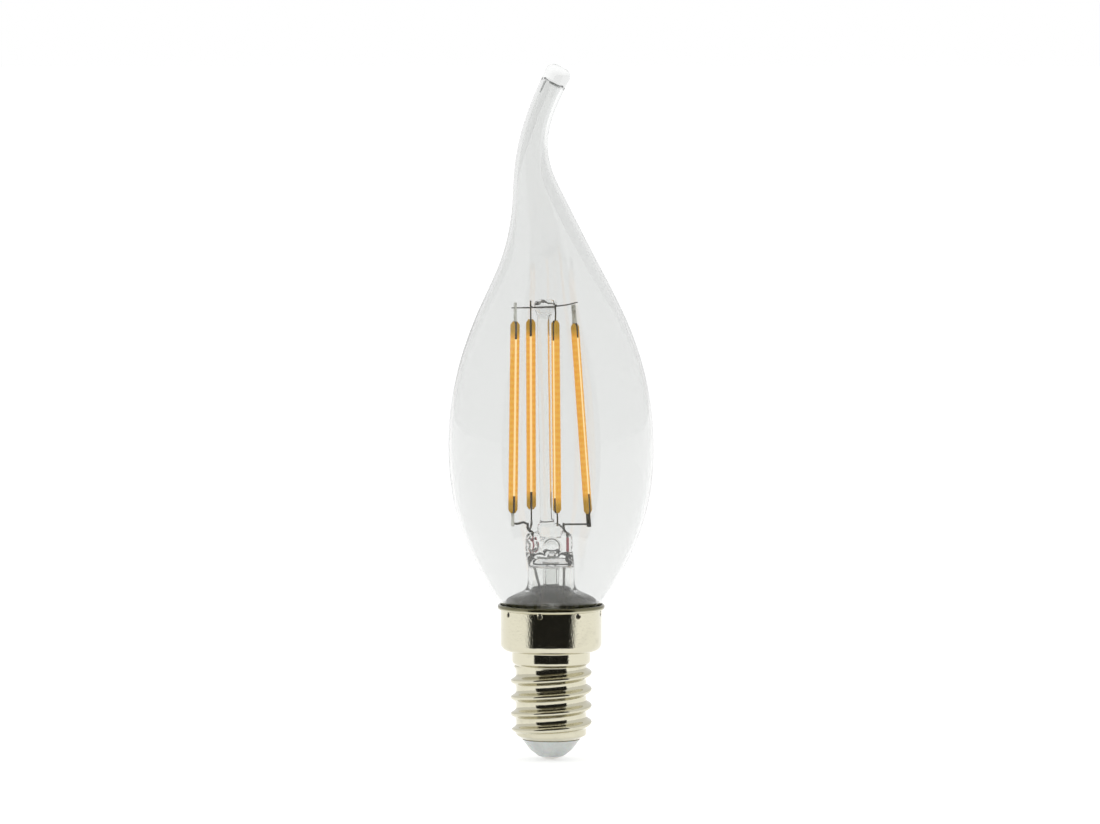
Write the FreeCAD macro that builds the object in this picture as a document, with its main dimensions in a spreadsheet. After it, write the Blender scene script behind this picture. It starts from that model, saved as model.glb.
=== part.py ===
import FreeCAD, Part
import math
import os

import Sketcher

# A candle lamp with four light-emitting filaments in a blown, bent-tip glass and a rolled screw cap.
# Millimetres, +Z up along the cap's axis, origin at the lowest point of the centre contact.
# +X is the side towards which the tip of the glass curls, and -Y is the front.

DIMENSIONS = {
    # Whole lamp
    "lamp_height": 118.4,
    # Blown glass: rings of the outline, each with its height and outside diameter
    "glass_wall": 0.6,
    "seal_z": 23.6,
    "seal_gap": 0.16,
    "foot_z": 25.2,
    "foot_spread": 0.4,
    "lip_z": 26.9,
    "lip_spread": 2.7,
    "skirt_z": 31.4,
    "skirt_dia": 23.6,
    "hip_z": 38.5,
    "hip_dia": 30.2,
    "belly_z": 53.0,
    "belly_dia": 35.0,
    "chest_z": 66.0,
    "chest_dia": 31.9,
    "shoulder_z": 76.2,
    "shoulder_dia": 24.7,
    "throat_share": 0.2322,
    "throat_dia": 15.4,
    "neck_share": 0.4171,
    "neck_dia": 9.7,
    "stalk_share": 0.5877,
    "stalk_dia": 6.1,
    "tube_share": 0.718,
    "tube_dia": 4.65,
    "tip_dia": 4.5,
    # Centreline of the bent tip, as offsets along X from the cap's axis
    "shoulder_x": -0.3,
    "throat_x": -0.85,
    "neck_x": -2.0,
    "stalk_x": -3.15,
    "tube_x": -2.75,
    "bend_share": 0.8531,
    "bend_x": -0.95,
    "tip_x": 1.75,
    "crown_drop": 0.515,
    "tip_round": 1.5,
    "plug_share": 0.0711,
    # Glass stem
    "flare_wall": 0.7,
    "flare_flange": 0.8,
    "flare_spread": 0.1,
    "flare_share": 0.2262,
    "flare_round_share": 0.3684,
    "flare_bore_drop": 0.63,
    "tube_bore_drop": 1.12,
    "stem_tube_dia": 7.9,
    "stem_tube_share": 0.381,
    "press_z": 33.6,
    "pinch_rise": 0.7,
    "pinch_depth": 5.1,
    "pinch_x": -0.25,
    "press_flat_rise": 1.75,
    "press_height": 5.1,
    "press_width": 8.1,
    "press_depth": 3.4,
    "press_x": -0.35,
    "press_head_width": 6.9,
    "press_head_depth": 2.4,
    "boss_foot_dia": 5.2,
    "boss_dia": 4.2,
    "boss_head_dia": 3.0,
    "boss_step": 0.7,
    "boss_height": 1.4,
    "blow_hole_dia": 2.3,
    "blow_hole_rise": 2.8,
    "exhaust_dia": 2.8,
    "exhaust_wall": 0.5,
    "exhaust_foot_z": 20.4,
    "exhaust_seal": 1.5,
    "rod_dia": 2.4,
    "rod_foot_x": -0.7,
    "rod_top_x": -1.25,
    "rod_top_rise": 42.4,
    "top_wire_rise": 1.1,
    "button_width": 3.9,
    "button_foot_width": 2.4,
    "button_head_width": 2.35,
    "button_height": 2.3,
    "button_round": 0.69,
    "button_x": -0.95,
    # Filaments
    "strip_width": 1.0,
    "strip_thick": 0.4,
    "coat_length": 32.5,
    "coat_height": 0.62,
    "tab_width": 0.8,
    "tab_thick": 0.25,
    "top_tab_length": 3.2,
    "foot_tab_length": 2.2,
    "left_foot_x": -6.5,
    "left_foot_y": -2.2,
    "left_foot_rise": 8.6,
    "left_top_x": -6.1,
    "left_top_y": -1.9,
    "left_turn": 22.0,
    "back_foot_x": -3.4,
    "back_foot_y": 6.2,
    "back_foot_rise": 8.5,
    "back_top_x": -3.5,
    "back_top_y": 5.0,
    "back_turn": 0.0,
    "front_foot_x": 1.0,
    "front_foot_y": -6.4,
    "front_foot_rise": 9.0,
    "front_top_x": 0.7,
    "front_top_y": -5.2,
    "front_turn": -48.0,
    "right_foot_x": 6.3,
    "right_foot_y": 1.9,
    "right_foot_rise": 8.1,
    "right_top_x": 4.0,
    "right_top_y": 1.9,
    "right_turn": 48.0,
    # Wires
    "wire_dia": 0.45,
    "branch_dia": 0.4,
    "left_lead_x": -3.05,
    "right_lead_x": 2.6,
    "left_joint_x": -4.0,
    "left_joint_y": 0.0,
    "right_joint_x": 2.1,
    "right_joint_y": 0.0,
    "joint_rise": 1.4,
    "joint_step": 0.68,
    "lead_bend": 0.5,
    "seal_wire_rise": 1.9,
    "seal_wire_length": 2.3,
    "inner_lead_x": 2.1,
    # Screw cap
    "cap_wall": 0.28,
    "cap_foot_z": 3.3,
    "cap_foot_dia": 9.86,
    "root_dia": 12.0,
    "root_foot_z": 4.05,
    "crest_dia": 13.86,
    "crest_width": 0.64,
    "crest_rise_share": 0.4,
    "ridge_base": 1.7,
    "fade_height": 1.25,
    "thread_pitch": 2.822,
    "thread_start_z": 4.105,
    "thread_start_turn": 90.0,
    "thread_turns": 4.7,
    "groove_width": 0.42,
    "groove_lead_in": 0.4,
    "groove_turns": 3.65,
    "neck_ring_z": 16.35,
    "neck_ring_share": 0.266,
    "collar_foot_z": 18.45,
    "collar_dia": 17.26,
    "collar_round_share": 0.337,
    "bead_z": 25.45,
    "bead_low_z": 25.68,
    "bead_high_z": 26.25,
    "bead_reach": 0.52,
    "lip_lean": 0.14,
    "lip_thick": 0.22,
    "cap_top_z": 26.6,
    "dimple_dia": 0.8,
    "dimple_z": 25.0,
    "dimple_depth": 0.17,
    "dimple_count": 8,
    "dimple_turn": -13.0,
    # Foot of the cap
    "contact_dia": 4.3,
    "contact_flat_dia": 2.4,
    "contact_edge_z": 0.45,
    "contact_thick": 0.75,
    "rivet_height": 0.2,
    "pin_dia": 1.9,
    "insulator_mid_dia": 7.1,
    "insulator_mid_z": 1.45,
    "insulator_round": 2.6,
    "insulator_top_z": 5.0,
    "cement_thick": 0.75,
    "cement_top_z": 24.3,
    "running_gap": 0.05,
    # Driver inside the cap
    "board_width": 9.2,
    "board_height": 12.2,
    "board_thick": 1.0,
    "board_foot_z": 6.0,
    "rectifier_width": 4.8,
    "rectifier_height": 4.0,
    "rectifier_thick": 1.4,
    "rectifier_z": 13.0,
    "regulator_width": 3.9,
    "regulator_height": 4.2,
    "regulator_thick": 1.3,
    "regulator_z": 6.85,
    "capacitor_dia": 3.6,
    "capacitor_height": 7.0,
    "capacitor_x": -1.8,
    "capacitor_z": 9.5,
    "fuse_dia": 1.7,
    "fuse_height": 5.0,
    "fuse_x": 2.7,
    "fuse_z": 9.0,
}

doc = FreeCAD.newDocument("candle_lamp")
sheet = doc.addObject("Spreadsheet::Sheet", "Dimensions")
for row, (alias, number) in enumerate(DIMENSIONS.items(), start=1):
    sheet.set(f"A{row}", alias)
    sheet.set(f"B{row}", str(number))
    sheet.setAlias(f"B{row}", alias)
doc.recompute()


class Size:
    """A length that keeps its number and the sheet expression that it comes from."""

    def __init__(self, number, text):
        self.number = number
        self.text = text

    def __add__(self, other):
        other = as_size(other)
        return Size(self.number + other.number, f"({self.text} + {other.text})")

    def __sub__(self, other):
        other = as_size(other)
        return Size(self.number - other.number, f"({self.text} - {other.text})")

    def __mul__(self, other):
        other = as_size(other)
        return Size(self.number * other.number, f"({self.text} * {other.text})")

    def __truediv__(self, other):
        other = as_size(other)
        return Size(self.number / other.number, f"({self.text} / {other.text})")


def as_size(value):
    """A plain number as a Size, and a Size as it is."""
    if isinstance(value, Size):
        return value
    return Size(float(value), f"{float(value):.6f}")


def dim(alias):
    """The sheet's cell with this alias."""
    return Size(float(sheet.get(alias)), f"Dimensions.{alias}")


def bind(target, **sizes):
    """Tie properties of an object to the sheet."""
    for name, size in sizes.items():
        target.setExpression(name, as_size(size).text)


def point(across, deep, up):
    """A point from numbers or sizes."""
    return FreeCAD.Vector(as_size(across).number, as_size(deep).number, as_size(up).number)


def placed(base, turn=None):
    """A placement at a point, turned if a rotation is given."""
    return FreeCAD.Placement(base, turn or FreeCAD.Rotation())


# Outlines and turned bodies

def hold_corner(sketch, line, across, along):
    """Fix the start of a sketch line at two sizes measured from the sketch's origin."""
    for kind, size, axis in (("DistanceX", across, -2), ("DistanceY", along, -1)):
        if abs(size.number) < 1e-9:
            sketch.addConstraint(Sketcher.Constraint("PointOnObject", line, 1, axis))
            continue
        rule = Sketcher.Constraint(kind, -1, 1, line, 1, size.number)
        index = sketch.addConstraint(rule)
        sketch.setExpression(f"Constraints[{index}]", size.text)


def outline(body, name, role, corners):
    """A closed outline of straight lines through corners that are bound to the sheet."""
    sketch = body.newObject("Sketcher::SketchObject", name)
    plane = next(item for item in body.Origin.OriginFeatures if item.Role == role)
    sketch.AttachmentSupport = [(plane, "")]
    sketch.MapMode = "FlatFace"
    corners = [(as_size(across), as_size(along)) for across, along in corners]
    points = [FreeCAD.Vector(across.number, along.number, 0) for across, along in corners]
    for start, end in zip(points, points[1:] + points[:1]):
        sketch.addGeometry(Part.LineSegment(start, end))
    for line in range(len(points)):
        following = (line + 1) % len(points)
        sketch.addConstraint(Sketcher.Constraint("Coincident", line, 2, following, 1))
    for line, (across, along) in enumerate(corners):
        hold_corner(sketch, line, across, along)
    return sketch


def ring_edges(shape, radius, height):
    """Names of the round edges about the lamp's axis at this radius and height."""
    names = []
    for index, edge in enumerate(shape.Edges, start=1):
        if not hasattr(edge.Curve, "Radius"):
            continue
        off_height = abs(edge.Curve.Center.z - height)
        off_radius = abs(edge.Curve.Radius - radius)
        if off_height < 1e-4 and off_radius < 1e-4:
            names.append(f"Edge{index}")
    return names


def turned(label, corners, rounds=()):
    """A body turned about the lamp's axis, with rounds given as (corner number, radius)."""
    body = doc.addObject("PartDesign::Body", label)
    sketch = outline(body, f"{label}_outline", "XZ_Plane", corners)
    turn = body.newObject("PartDesign::Revolution", f"{label}_turn")
    turn.Profile = sketch
    turn.ReferenceAxis = (sketch, ["V_Axis"])
    turn.Angle = 360
    doc.recompute()
    for number, radius in rounds:
        across, along = (as_size(size) for size in corners[number])
        sharp = body.Tip
        soften = body.newObject("PartDesign::Fillet", f"{label}_round{number}")
        soften.Base = (sharp, ring_edges(sharp.Shape, across.number, along.number))
        bind(soften, Radius=radius)
        doc.recompute()
    return body


# Other building blocks

def ring(name, radius, placement):
    """A circle whose radius is bound to the sheet."""
    edge = doc.addObject("Part::Circle", name)
    bind(edge, Radius=radius)
    edge.Placement = placement
    return edge


def loft(name, sections):
    """A smooth solid through closed sections."""
    form = doc.addObject("Part::Loft", name)
    form.Sections = sections
    form.Solid = True
    form.Ruled = False
    return form


def wire(name, section_dia, route):
    """A round wire along straight runs with mitred corners."""
    path = doc.addObject("Part::Polygon", f"{name}_route")
    path.Nodes = route
    start = FreeCAD.Rotation(FreeCAD.Vector(0, 0, 1), route[1] - route[0])
    section = ring(f"{name}_section", section_dia / 2, placed(route[0], start))
    sweep = doc.addObject("Part::Sweep", name)
    sweep.Sections = [section]
    sweep.Spine = (path, [f"Edge{number}" for number in range(1, len(route))])
    sweep.Solid = True
    sweep.Frenet = False
    sweep.Transition = "Right corner"
    return sweep


def cylinder(name, diameter, height, placement):
    """A round bar bound to the sheet."""
    bar = doc.addObject("Part::Cylinder", name)
    bind(bar, Radius=as_size(diameter) / 2, Height=height)
    bar.Placement = placement
    return bar


def block(name, length, width, height, placement):
    """A rectangular block bound to the sheet."""
    body = doc.addObject("Part::Box", name)
    bind(body, Length=length, Width=width, Height=height)
    body.Placement = placement
    return body


def cut(name, base, tools):
    """One solid less others."""
    result = base
    for number, tool in enumerate(tools, start=1):
        step = doc.addObject("Part::Cut", name if number == len(tools) else f"{name}_step{number}")
        step.Base = result
        step.Tool = tool
        result = step
    return result


def fused(name, pieces):
    """Several touching solids joined into one, one after the other."""
    result = pieces[0]
    for number, piece in enumerate(pieces[1:], start=2):
        step = doc.addObject("Part::Fuse", name if number == len(pieces) else f"{name}_step{number}")
        step.Base = result
        step.Tool = piece
        result = step
    return result


def group(name, pieces):
    """Separate solids kept together as one tool."""
    union = doc.addObject("Part::MultiFuse", name)
    union.Shapes = pieces
    return union


# Blown glass envelope: round sections across a centreline that bends to a curled tip

glass_wall = dim("glass_wall")
seal_z = dim("seal_z")
cap_wall = dim("cap_wall")
collar_dia = dim("collar_dia")
seal_dia = collar_dia - cap_wall * 2 - dim("cement_thick") * 2
shoulder_z = dim("shoulder_z")
drawn_length = dim("lamp_height") - shoulder_z
crown_z = dim("lamp_height") - dim("crown_drop")
plug_z = crown_z - drawn_length * dim("plug_share")
PLAIN_RINGS = ("skirt", "hip", "belly", "chest", "shoulder")
DRAWN_RINGS = ("throat", "neck", "stalk", "tube")
UPRIGHT_RINGS = ("skirt", "belly")
TIP_SECTIONS = 3


def drawn_z(name):
    """The height of a ring in the drawn-out part of the glass, above its shoulder."""
    return shoulder_z + drawn_length * dim(f"{name}_share")


RINGS = [(seal_z, seal_dia), (dim("foot_z"), seal_dia + dim("foot_spread")),
         (dim("lip_z"), seal_dia + dim("lip_spread"))]
RINGS += [(dim(f"{name}_z"), dim(f"{name}_dia")) for name in PLAIN_RINGS]
RINGS += [(drawn_z(name), dim(f"{name}_dia")) for name in DRAWN_RINGS]
CENTRES = [(seal_z, as_size(0))] + [(dim(f"{name}_z"), as_size(0)) for name in UPRIGHT_RINGS]
CENTRES += [(shoulder_z, dim("shoulder_x"))]
CENTRES += [(drawn_z(name), dim(f"{name}_x")) for name in DRAWN_RINGS + ("bend",)]


def smooth(places):
    """A smooth curve in the XZ plane through (across, up) places."""
    curve = Part.BSplineCurve()
    curve.interpolate([point(across, 0, up) for across, up in places])
    return curve


def at_height(curve, height):
    """The parameter at which a rising curve passes a height, found by halving."""
    low, high = curve.FirstParameter, curve.LastParameter
    for _ in range(50):
        middle = (low + high) / 2
        if curve.value(middle).z < height:
            low = middle
        else:
            high = middle
    return low


glass_outline = smooth([(wide / 2, up) for up, wide in RINGS] + [(dim("tip_dia") / 2, crown_z)])
glass_centre = smooth([(across, up) for up, across in CENTRES] + [(dim("tip_x"), crown_z)])


def blown(name, inset, foot_z, top_z):
    """The bent form of the glass from its foot to a height near its tip, inset from its outside."""
    bend_z = drawn_z("bend").number
    heights = [foot_z.number] + [up.number for up, _ in RINGS[1:]] + [bend_z]
    rise = (top_z.number - bend_z) / TIP_SECTIONS
    heights += [bend_z + rise * step for step in range(1, TIP_SECTIONS + 1)]
    sections = []
    for number, height in enumerate(heights):
        level = max(height, seal_z.number)
        radius = glass_outline.value(at_height(glass_outline, level)).x
        station = at_height(glass_centre, level)
        middle = glass_centre.value(station)
        along = glass_centre.tangent(station)[0]
        centre = FreeCAD.Vector(middle.x, 0, height)
        tilt = FreeCAD.Rotation(FreeCAD.Vector(0, 0, 1), along)
        sections.append(ring(f"{name}_ring{number}", as_size(radius) - inset, placed(centre, tilt)))
    return loft(name, sections)


outer_glass = blown("outer_glass", 0, seal_z, crown_z)
hollow_glass = blown("hollow_glass", glass_wall, seal_z - glass_wall, plug_z)
doc.recompute()
tip_edge = max(range(len(outer_glass.Shape.Edges)),
               key=lambda index: outer_glass.Shape.Edges[index].CenterOfMass.z)
sealed_tip = doc.addObject("Part::Fillet", "sealed_tip")
sealed_tip.Base = outer_glass
sealed_tip.Edges = [(tip_edge + 1, dim("tip_round").number, dim("tip_round").number)]
glass_envelope = cut("glass_envelope", sealed_tip, [hollow_glass])

# Routes of the lead wires, from the board in the cap up through the pressed glass to the filaments

wire_dia = dim("wire_dia")
branch_dia = dim("branch_dia")
press_z = dim("press_z")
press_top_z = press_z + dim("press_height")
seal_wire_z = press_z + dim("seal_wire_rise")
seal_wire_top_z = seal_wire_z + dim("seal_wire_length")
joint_z = press_top_z + dim("joint_rise")
board_top_z = dim("board_foot_z") + dim("board_height")
stem_tube_z = press_z - (press_z - dim("foot_z")) * dim("stem_tube_share")
inner_lead_x = dim("inner_lead_x")


def lead(side, seal_x, inner_x, joint_x, joint_y):
    """The outer lead, seal wire and inner lead of one side, end to end through the press."""
    bend = dim("lead_bend")
    low = wire(f"{side}_outer_lead", wire_dia, [
        point(seal_x, 0, seal_wire_z),
        point(seal_x, 0, press_z),
        point(inner_x, 0, stem_tube_z),
        point(inner_x, 0, board_top_z),
    ])
    middle = cylinder(f"{side}_seal_wire", wire_dia, dim("seal_wire_length"),
                      placed(point(seal_x, 0, seal_wire_z)))
    high = wire(f"{side}_inner_lead", wire_dia, [
        point(seal_x, 0, seal_wire_top_z),
        point(seal_x, 0, press_top_z),
        point(joint_x, joint_y, press_top_z + bend),
        point(joint_x, joint_y, joint_z + wire_dia / 2),
    ])
    return low, middle, high


left_joint = (dim("left_joint_x"), dim("left_joint_y"))
right_joint = (dim("right_joint_x"), dim("right_joint_y"))
left_wires = lead("left", dim("left_lead_x"), as_size(0) - inner_lead_x, *left_joint)
right_wires = lead("right", dim("right_lead_x"), inner_lead_x, *right_joint)

# Glass stem: a flared tube pinched flat round the seal wires, with its boss for the rod

flare_wall = dim("flare_wall")
flare_flange = dim("flare_flange")
flare_dia = seal_dia + dim("flare_spread")
flare_rise = (press_z - dim("foot_z")) * dim("flare_share")
flare_z = dim("foot_z") + flare_rise
tube_dia = dim("stem_tube_dia")
tube_bore_dia = tube_dia - flare_wall * 2
inner_seal_dia = seal_dia - glass_wall * 2
flare_bore_dia = inner_seal_dia - flare_wall * 2 - dim("seal_gap") * 2
flange_z = seal_z - flare_flange
flange_top_z = seal_z - dim("running_gap")
flare_tube = turned(
    "flare_tube",
    [
        (flare_bore_dia / 2, flange_z),
        (seal_dia / 2, flange_z),
        (seal_dia / 2, flange_top_z),
        (flare_bore_dia / 2 + flare_wall, flange_top_z),
        (flare_bore_dia / 2 + flare_wall, dim("foot_z")),
        (flare_dia / 2, flare_z),
        (tube_dia / 2, stem_tube_z - flare_wall),
        (tube_dia / 2, press_z),
        (tube_bore_dia / 2, press_z),
        (tube_bore_dia / 2, stem_tube_z - dim("tube_bore_drop")),
        (flare_dia / 2 - flare_wall, flare_z - dim("flare_bore_drop")),
        (flare_bore_dia / 2, dim("foot_z")),
    ],
    [(5, flare_rise * dim("flare_round_share")), (6, tube_dia / 4)],
)
press_x = dim("press_x")
press_width = dim("press_width")
press_depth = dim("press_depth")
PRESS_LEVELS = (
    (press_z, tube_dia, tube_dia, 0),
    (press_z + dim("pinch_rise"), press_width, dim("pinch_depth"), dim("pinch_x")),
    (press_z + dim("press_flat_rise"), press_width, press_depth, press_x),
    (press_top_z - flare_wall, press_width, press_depth, press_x),
    (press_top_z, dim("press_head_width"), dim("press_head_depth"), press_x),
)
press_sections = []
for number, (level, wide, deep, middle) in enumerate(PRESS_LEVELS):
    oval = doc.addObject("Part::Ellipse", f"press_oval{number}")
    bind(oval, MajorRadius=wide / 2, MinorRadius=deep / 2)
    oval.Placement = placed(point(middle, 0, level))
    press_sections.append(oval)
press = loft("press", press_sections)
rod_foot_x = dim("rod_foot_x")
boss_top_z = press_top_z + dim("boss_height")
boss_step = dim("boss_step")
BOSS_LEVELS = (
    (press_top_z - boss_step, dim("boss_foot_dia")),
    (press_top_z + boss_step, dim("boss_dia")),
    (boss_top_z, dim("boss_head_dia")),
)
boss_sections = []
for number, (level, wide) in enumerate(BOSS_LEVELS):
    boss_sections.append(ring(f"boss_ring{number}", wide / 2, placed(point(rod_foot_x, 0, level))))
boss = loft("boss", boss_sections)
blow_hole_dia = dim("blow_hole_dia")
blow_hole_z = press_z + dim("blow_hole_rise")
exhaust_dia = dim("exhaust_dia")
exhaust_wall = dim("exhaust_wall")
exhaust_bore_dia = exhaust_dia - exhaust_wall * 2
frontward = FreeCAD.Rotation(FreeCAD.Vector(1, 0, 0), 90)
blow_hole = cylinder("blow_hole", blow_hole_dia, press_depth, placed(point(0, 0, blow_hole_z), frontward))
channel = cylinder("blow_channel", exhaust_bore_dia, blow_hole_z - press_z,
                   placed(point(0, 0, press_z)))
stem_blank = fused("stem_blank", [flare_tube, press, boss])
glass_stem = cut("glass_stem", stem_blank,
                 [blow_hole, channel, *left_wires, *right_wires])
exhaust_foot_z = dim("exhaust_foot_z")
exhaust_tube = turned(
    "exhaust_tube",
    [
        (0, exhaust_foot_z),
        (exhaust_wall, exhaust_foot_z),
        (exhaust_dia / 2, exhaust_foot_z + exhaust_dia),
        (exhaust_dia / 2, press_z),
        (exhaust_bore_dia / 2, press_z),
        (exhaust_bore_dia / 2, exhaust_foot_z + exhaust_dia),
        (0, exhaust_foot_z + dim("exhaust_seal")),
    ],
)

# Glass rod with its button, and the wires that cross in the button

rod_dia = dim("rod_dia")
rod_top_z = press_z + dim("rod_top_rise")
rod_top_x = dim("rod_top_x")
button_x = dim("button_x")
button_width = dim("button_width")
button_height = dim("button_height")
top_wire_z = rod_top_z + dim("top_wire_rise")
rod_sections = []
for name, across, up in (("foot", rod_foot_x, boss_top_z), ("top", rod_top_x, rod_top_z)):
    rod_sections.append(ring(f"rod_{name}", rod_dia / 2, placed(point(across, 0, up))))
rod_bar = loft("rod_bar", rod_sections)
button_round = dim("button_round")
BUTTON_LEVELS = (
    (rod_top_z, dim("button_foot_width"), rod_top_x),
    (rod_top_z + button_round, button_width, button_x),
    (rod_top_z + button_height - button_round, button_width, button_x),
    (rod_top_z + button_height, dim("button_head_width"), button_x),
)
button_sections = []
for number, (level, wide, middle) in enumerate(BUTTON_LEVELS):
    button_sections.append(ring(f"button_ring{number}", wide / 2, placed(point(middle, 0, level))))
button = loft("button", button_sections)

FILAMENTS = ("left", "back", "front", "right")


class Filament:
    """Where one filament stands: its own Z axis runs from the foot of its coat to the top."""

    def __init__(self, name):
        self.name = name
        foot_level = press_z + dim(f"{name}_foot_rise")
        top_level = foot_level + dim("coat_length")
        self.foot = point(dim(f"{name}_foot_x"), dim(f"{name}_foot_y"), foot_level)
        top = point(dim(f"{name}_top_x"), dim(f"{name}_top_y"), top_level)
        lean = FreeCAD.Rotation(FreeCAD.Vector(0, 0, 1), top - self.foot)
        spin = FreeCAD.Rotation(FreeCAD.Vector(0, 0, 1), 90 + dim(f"{name}_turn").number)
        self.turn = lean.multiply(spin)

    def place(self, across=0, deep=0, up=0):
        """The placement of a piece at a point of the filament's own frame."""
        return placed(self.foot + self.turn.multVec(point(across, deep, up)), self.turn)

    def at(self, up):
        """A point on the filament's axis."""
        return self.place(up=up).Base


filaments = {name: Filament(name) for name in FILAMENTS}
coat_length = dim("coat_length")
top_tab_length = dim("top_tab_length")
foot_tab_length = dim("foot_tab_length")
long_top_wire = wire("long_top_wire", wire_dia, [
    filaments["left"].at(coat_length + top_tab_length - wire_dia),
    point(button_x - button_width / 2, 0, top_wire_z),
    point(button_x + button_width / 2, 0, top_wire_z),
    filaments["right"].at(coat_length + top_tab_length - wire_dia),
])
cross_level = top_wire_z + wire_dia
short_top_wire = wire("short_top_wire", wire_dia, [
    filaments["back"].at(coat_length + top_tab_length - wire_dia),
    point(button_x, button_width / 2, cross_level),
    point(button_x, as_size(0) - button_width / 2, cross_level),
    filaments["front"].at(coat_length + top_tab_length - wire_dia),
])
rod = fused("rod_blank", [rod_bar, button])
support_rod = cut("support_rod", rod, [long_top_wire, short_top_wire])


def branch(name, filament, joint, level):
    """A wire from a lead's head to the foot tab of a filament."""
    return wire(name, branch_dia, [
        filament.at(wire_dia - foot_tab_length),
        point(*joint, level),
    ])


low_joint_z = joint_z - dim("joint_step")
branches = {
    "left": branch("left_branch", filaments["left"], left_joint, joint_z),
    "back": branch("back_branch", filaments["back"], left_joint, low_joint_z),
    "front": branch("front_branch", filaments["front"], right_joint, low_joint_z),
    "right": branch("right_branch", filaments["right"], right_joint, joint_z),
}
left_inner_lead = cut("left_inner_lead_joined", left_wires[2], [branches["left"], branches["back"]])
right_inner_lead = cut("right_inner_lead_joined", right_wires[2], [branches["right"], branches["front"]])

# Filaments: a strip, a bead of coating on each face and a metal tab at each end

strip_width = dim("strip_width")
strip_thick = dim("strip_thick")
coat_height = dim("coat_height")
tab_width = dim("tab_width")
tab_thick = dim("tab_thick")
top_wires = {"left": long_top_wire, "right": long_top_wire,
             "back": short_top_wire, "front": short_top_wire}


def bead(name, filament, side):
    """Half-round coating along one face of a strip; side is 1 or -1."""
    radius = (strip_width * strip_width / 4 + coat_height * coat_height) / (coat_height * 2)
    drop = radius - coat_height
    bar = cylinder(f"{name}_bar", radius * 2, coat_length,
                   filament.place(0, (strip_thick / 2 - drop) * side))
    keep = block(f"{name}_keep", strip_width, coat_height, coat_length,
                 filament.place(strip_width * -0.5,
                                strip_thick / 2 if side > 0 else as_size(0) - strip_thick / 2 - coat_height))
    half = doc.addObject("Part::Common", name)
    half.Base = bar
    half.Tool = keep
    return half


filament_pieces = []
for name, filament in filaments.items():
    strip = block(f"{name}_strip", strip_width, strip_thick, coat_length,
                  filament.place(strip_width * -0.5, strip_thick * -0.5))
    tab_corner = (tab_width * -0.5, tab_thick * -0.5)
    top_blank = block(f"{name}_top_tab_blank", tab_width, tab_thick, top_tab_length,
                      filament.place(*tab_corner, coat_length))
    foot_blank = block(f"{name}_foot_tab_blank", tab_width, tab_thick, foot_tab_length,
                       filament.place(*tab_corner, as_size(0) - foot_tab_length))
    filament_pieces += [
        (f"{name}_filament_strip", strip),
        (f"{name}_filament_outer_coat", bead(f"{name}_outer_coat", filament, 1)),
        (f"{name}_filament_inner_coat", bead(f"{name}_inner_coat", filament, -1)),
        (f"{name}_filament_top_tab", cut(f"{name}_top_tab", top_blank, [top_wires[name]])),
        (f"{name}_filament_foot_tab", cut(f"{name}_foot_tab", foot_blank, [branches[name]])),
    ]

# Rolled screw cap: thin turned sheet with a helical ridge outside and its groove inside

cap_foot_z = dim("cap_foot_z")
cap_foot_dia = dim("cap_foot_dia")
root_dia = dim("root_dia")
root_foot_z = dim("root_foot_z")
neck_ring_z = dim("neck_ring_z")
neck_ring_dia = root_dia + (collar_dia - root_dia) * dim("neck_ring_share")
collar_foot_z = dim("collar_foot_z")
collar_round = (collar_dia - neck_ring_dia) * dim("collar_round_share")
bead_z = dim("bead_z")
bead_dia = collar_dia + dim("bead_reach") * 2
cap_top_z = dim("cap_top_z")
crest_dia = dim("crest_dia")
thread_pitch = dim("thread_pitch")
ridge_base = dim("ridge_base")
fade_height = dim("fade_height")
bead_low_z = dim("bead_low_z")
bead_high_z = dim("bead_high_z")
lip_radius = bead_dia / 2 - dim("lip_lean")
half_wall = cap_wall / 2
cap_foot = turned(
    "cap_foot",
    [
        (cap_foot_dia / 2 - cap_wall, cap_foot_z),
        (cap_foot_dia / 2, cap_foot_z),
        (root_dia / 2, root_foot_z),
        (root_dia / 2 - cap_wall, root_foot_z),
        (cap_foot_dia / 2 - cap_wall, cap_foot_z + cap_wall),
    ],
)
collar = turned(
    "collar",
    [
        (root_dia / 2 - cap_wall, neck_ring_z),
        (neck_ring_dia / 2, neck_ring_z),
        (neck_ring_dia / 2, collar_foot_z),
        (collar_dia / 2, collar_foot_z),
        (collar_dia / 2, bead_z),
        (bead_dia / 2, bead_low_z),
        (bead_dia / 2, bead_high_z),
        (lip_radius, cap_top_z),
        (lip_radius - dim("lip_thick"), cap_top_z),
        (bead_dia / 2 - cap_wall, bead_high_z),
        (bead_dia / 2 - cap_wall, bead_low_z + half_wall),
        (collar_dia / 2 - cap_wall, bead_z + half_wall),
        (collar_dia / 2 - cap_wall, collar_foot_z + cap_wall),
        (neck_ring_dia / 2 - cap_wall, collar_foot_z + cap_wall),
        (neck_ring_dia / 2 - cap_wall, neck_ring_z + cap_wall),
        (root_dia / 2 - cap_wall, neck_ring_z + cap_wall),
    ],
    [(3, collar_round), (12, collar_round - cap_wall)],
)


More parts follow.
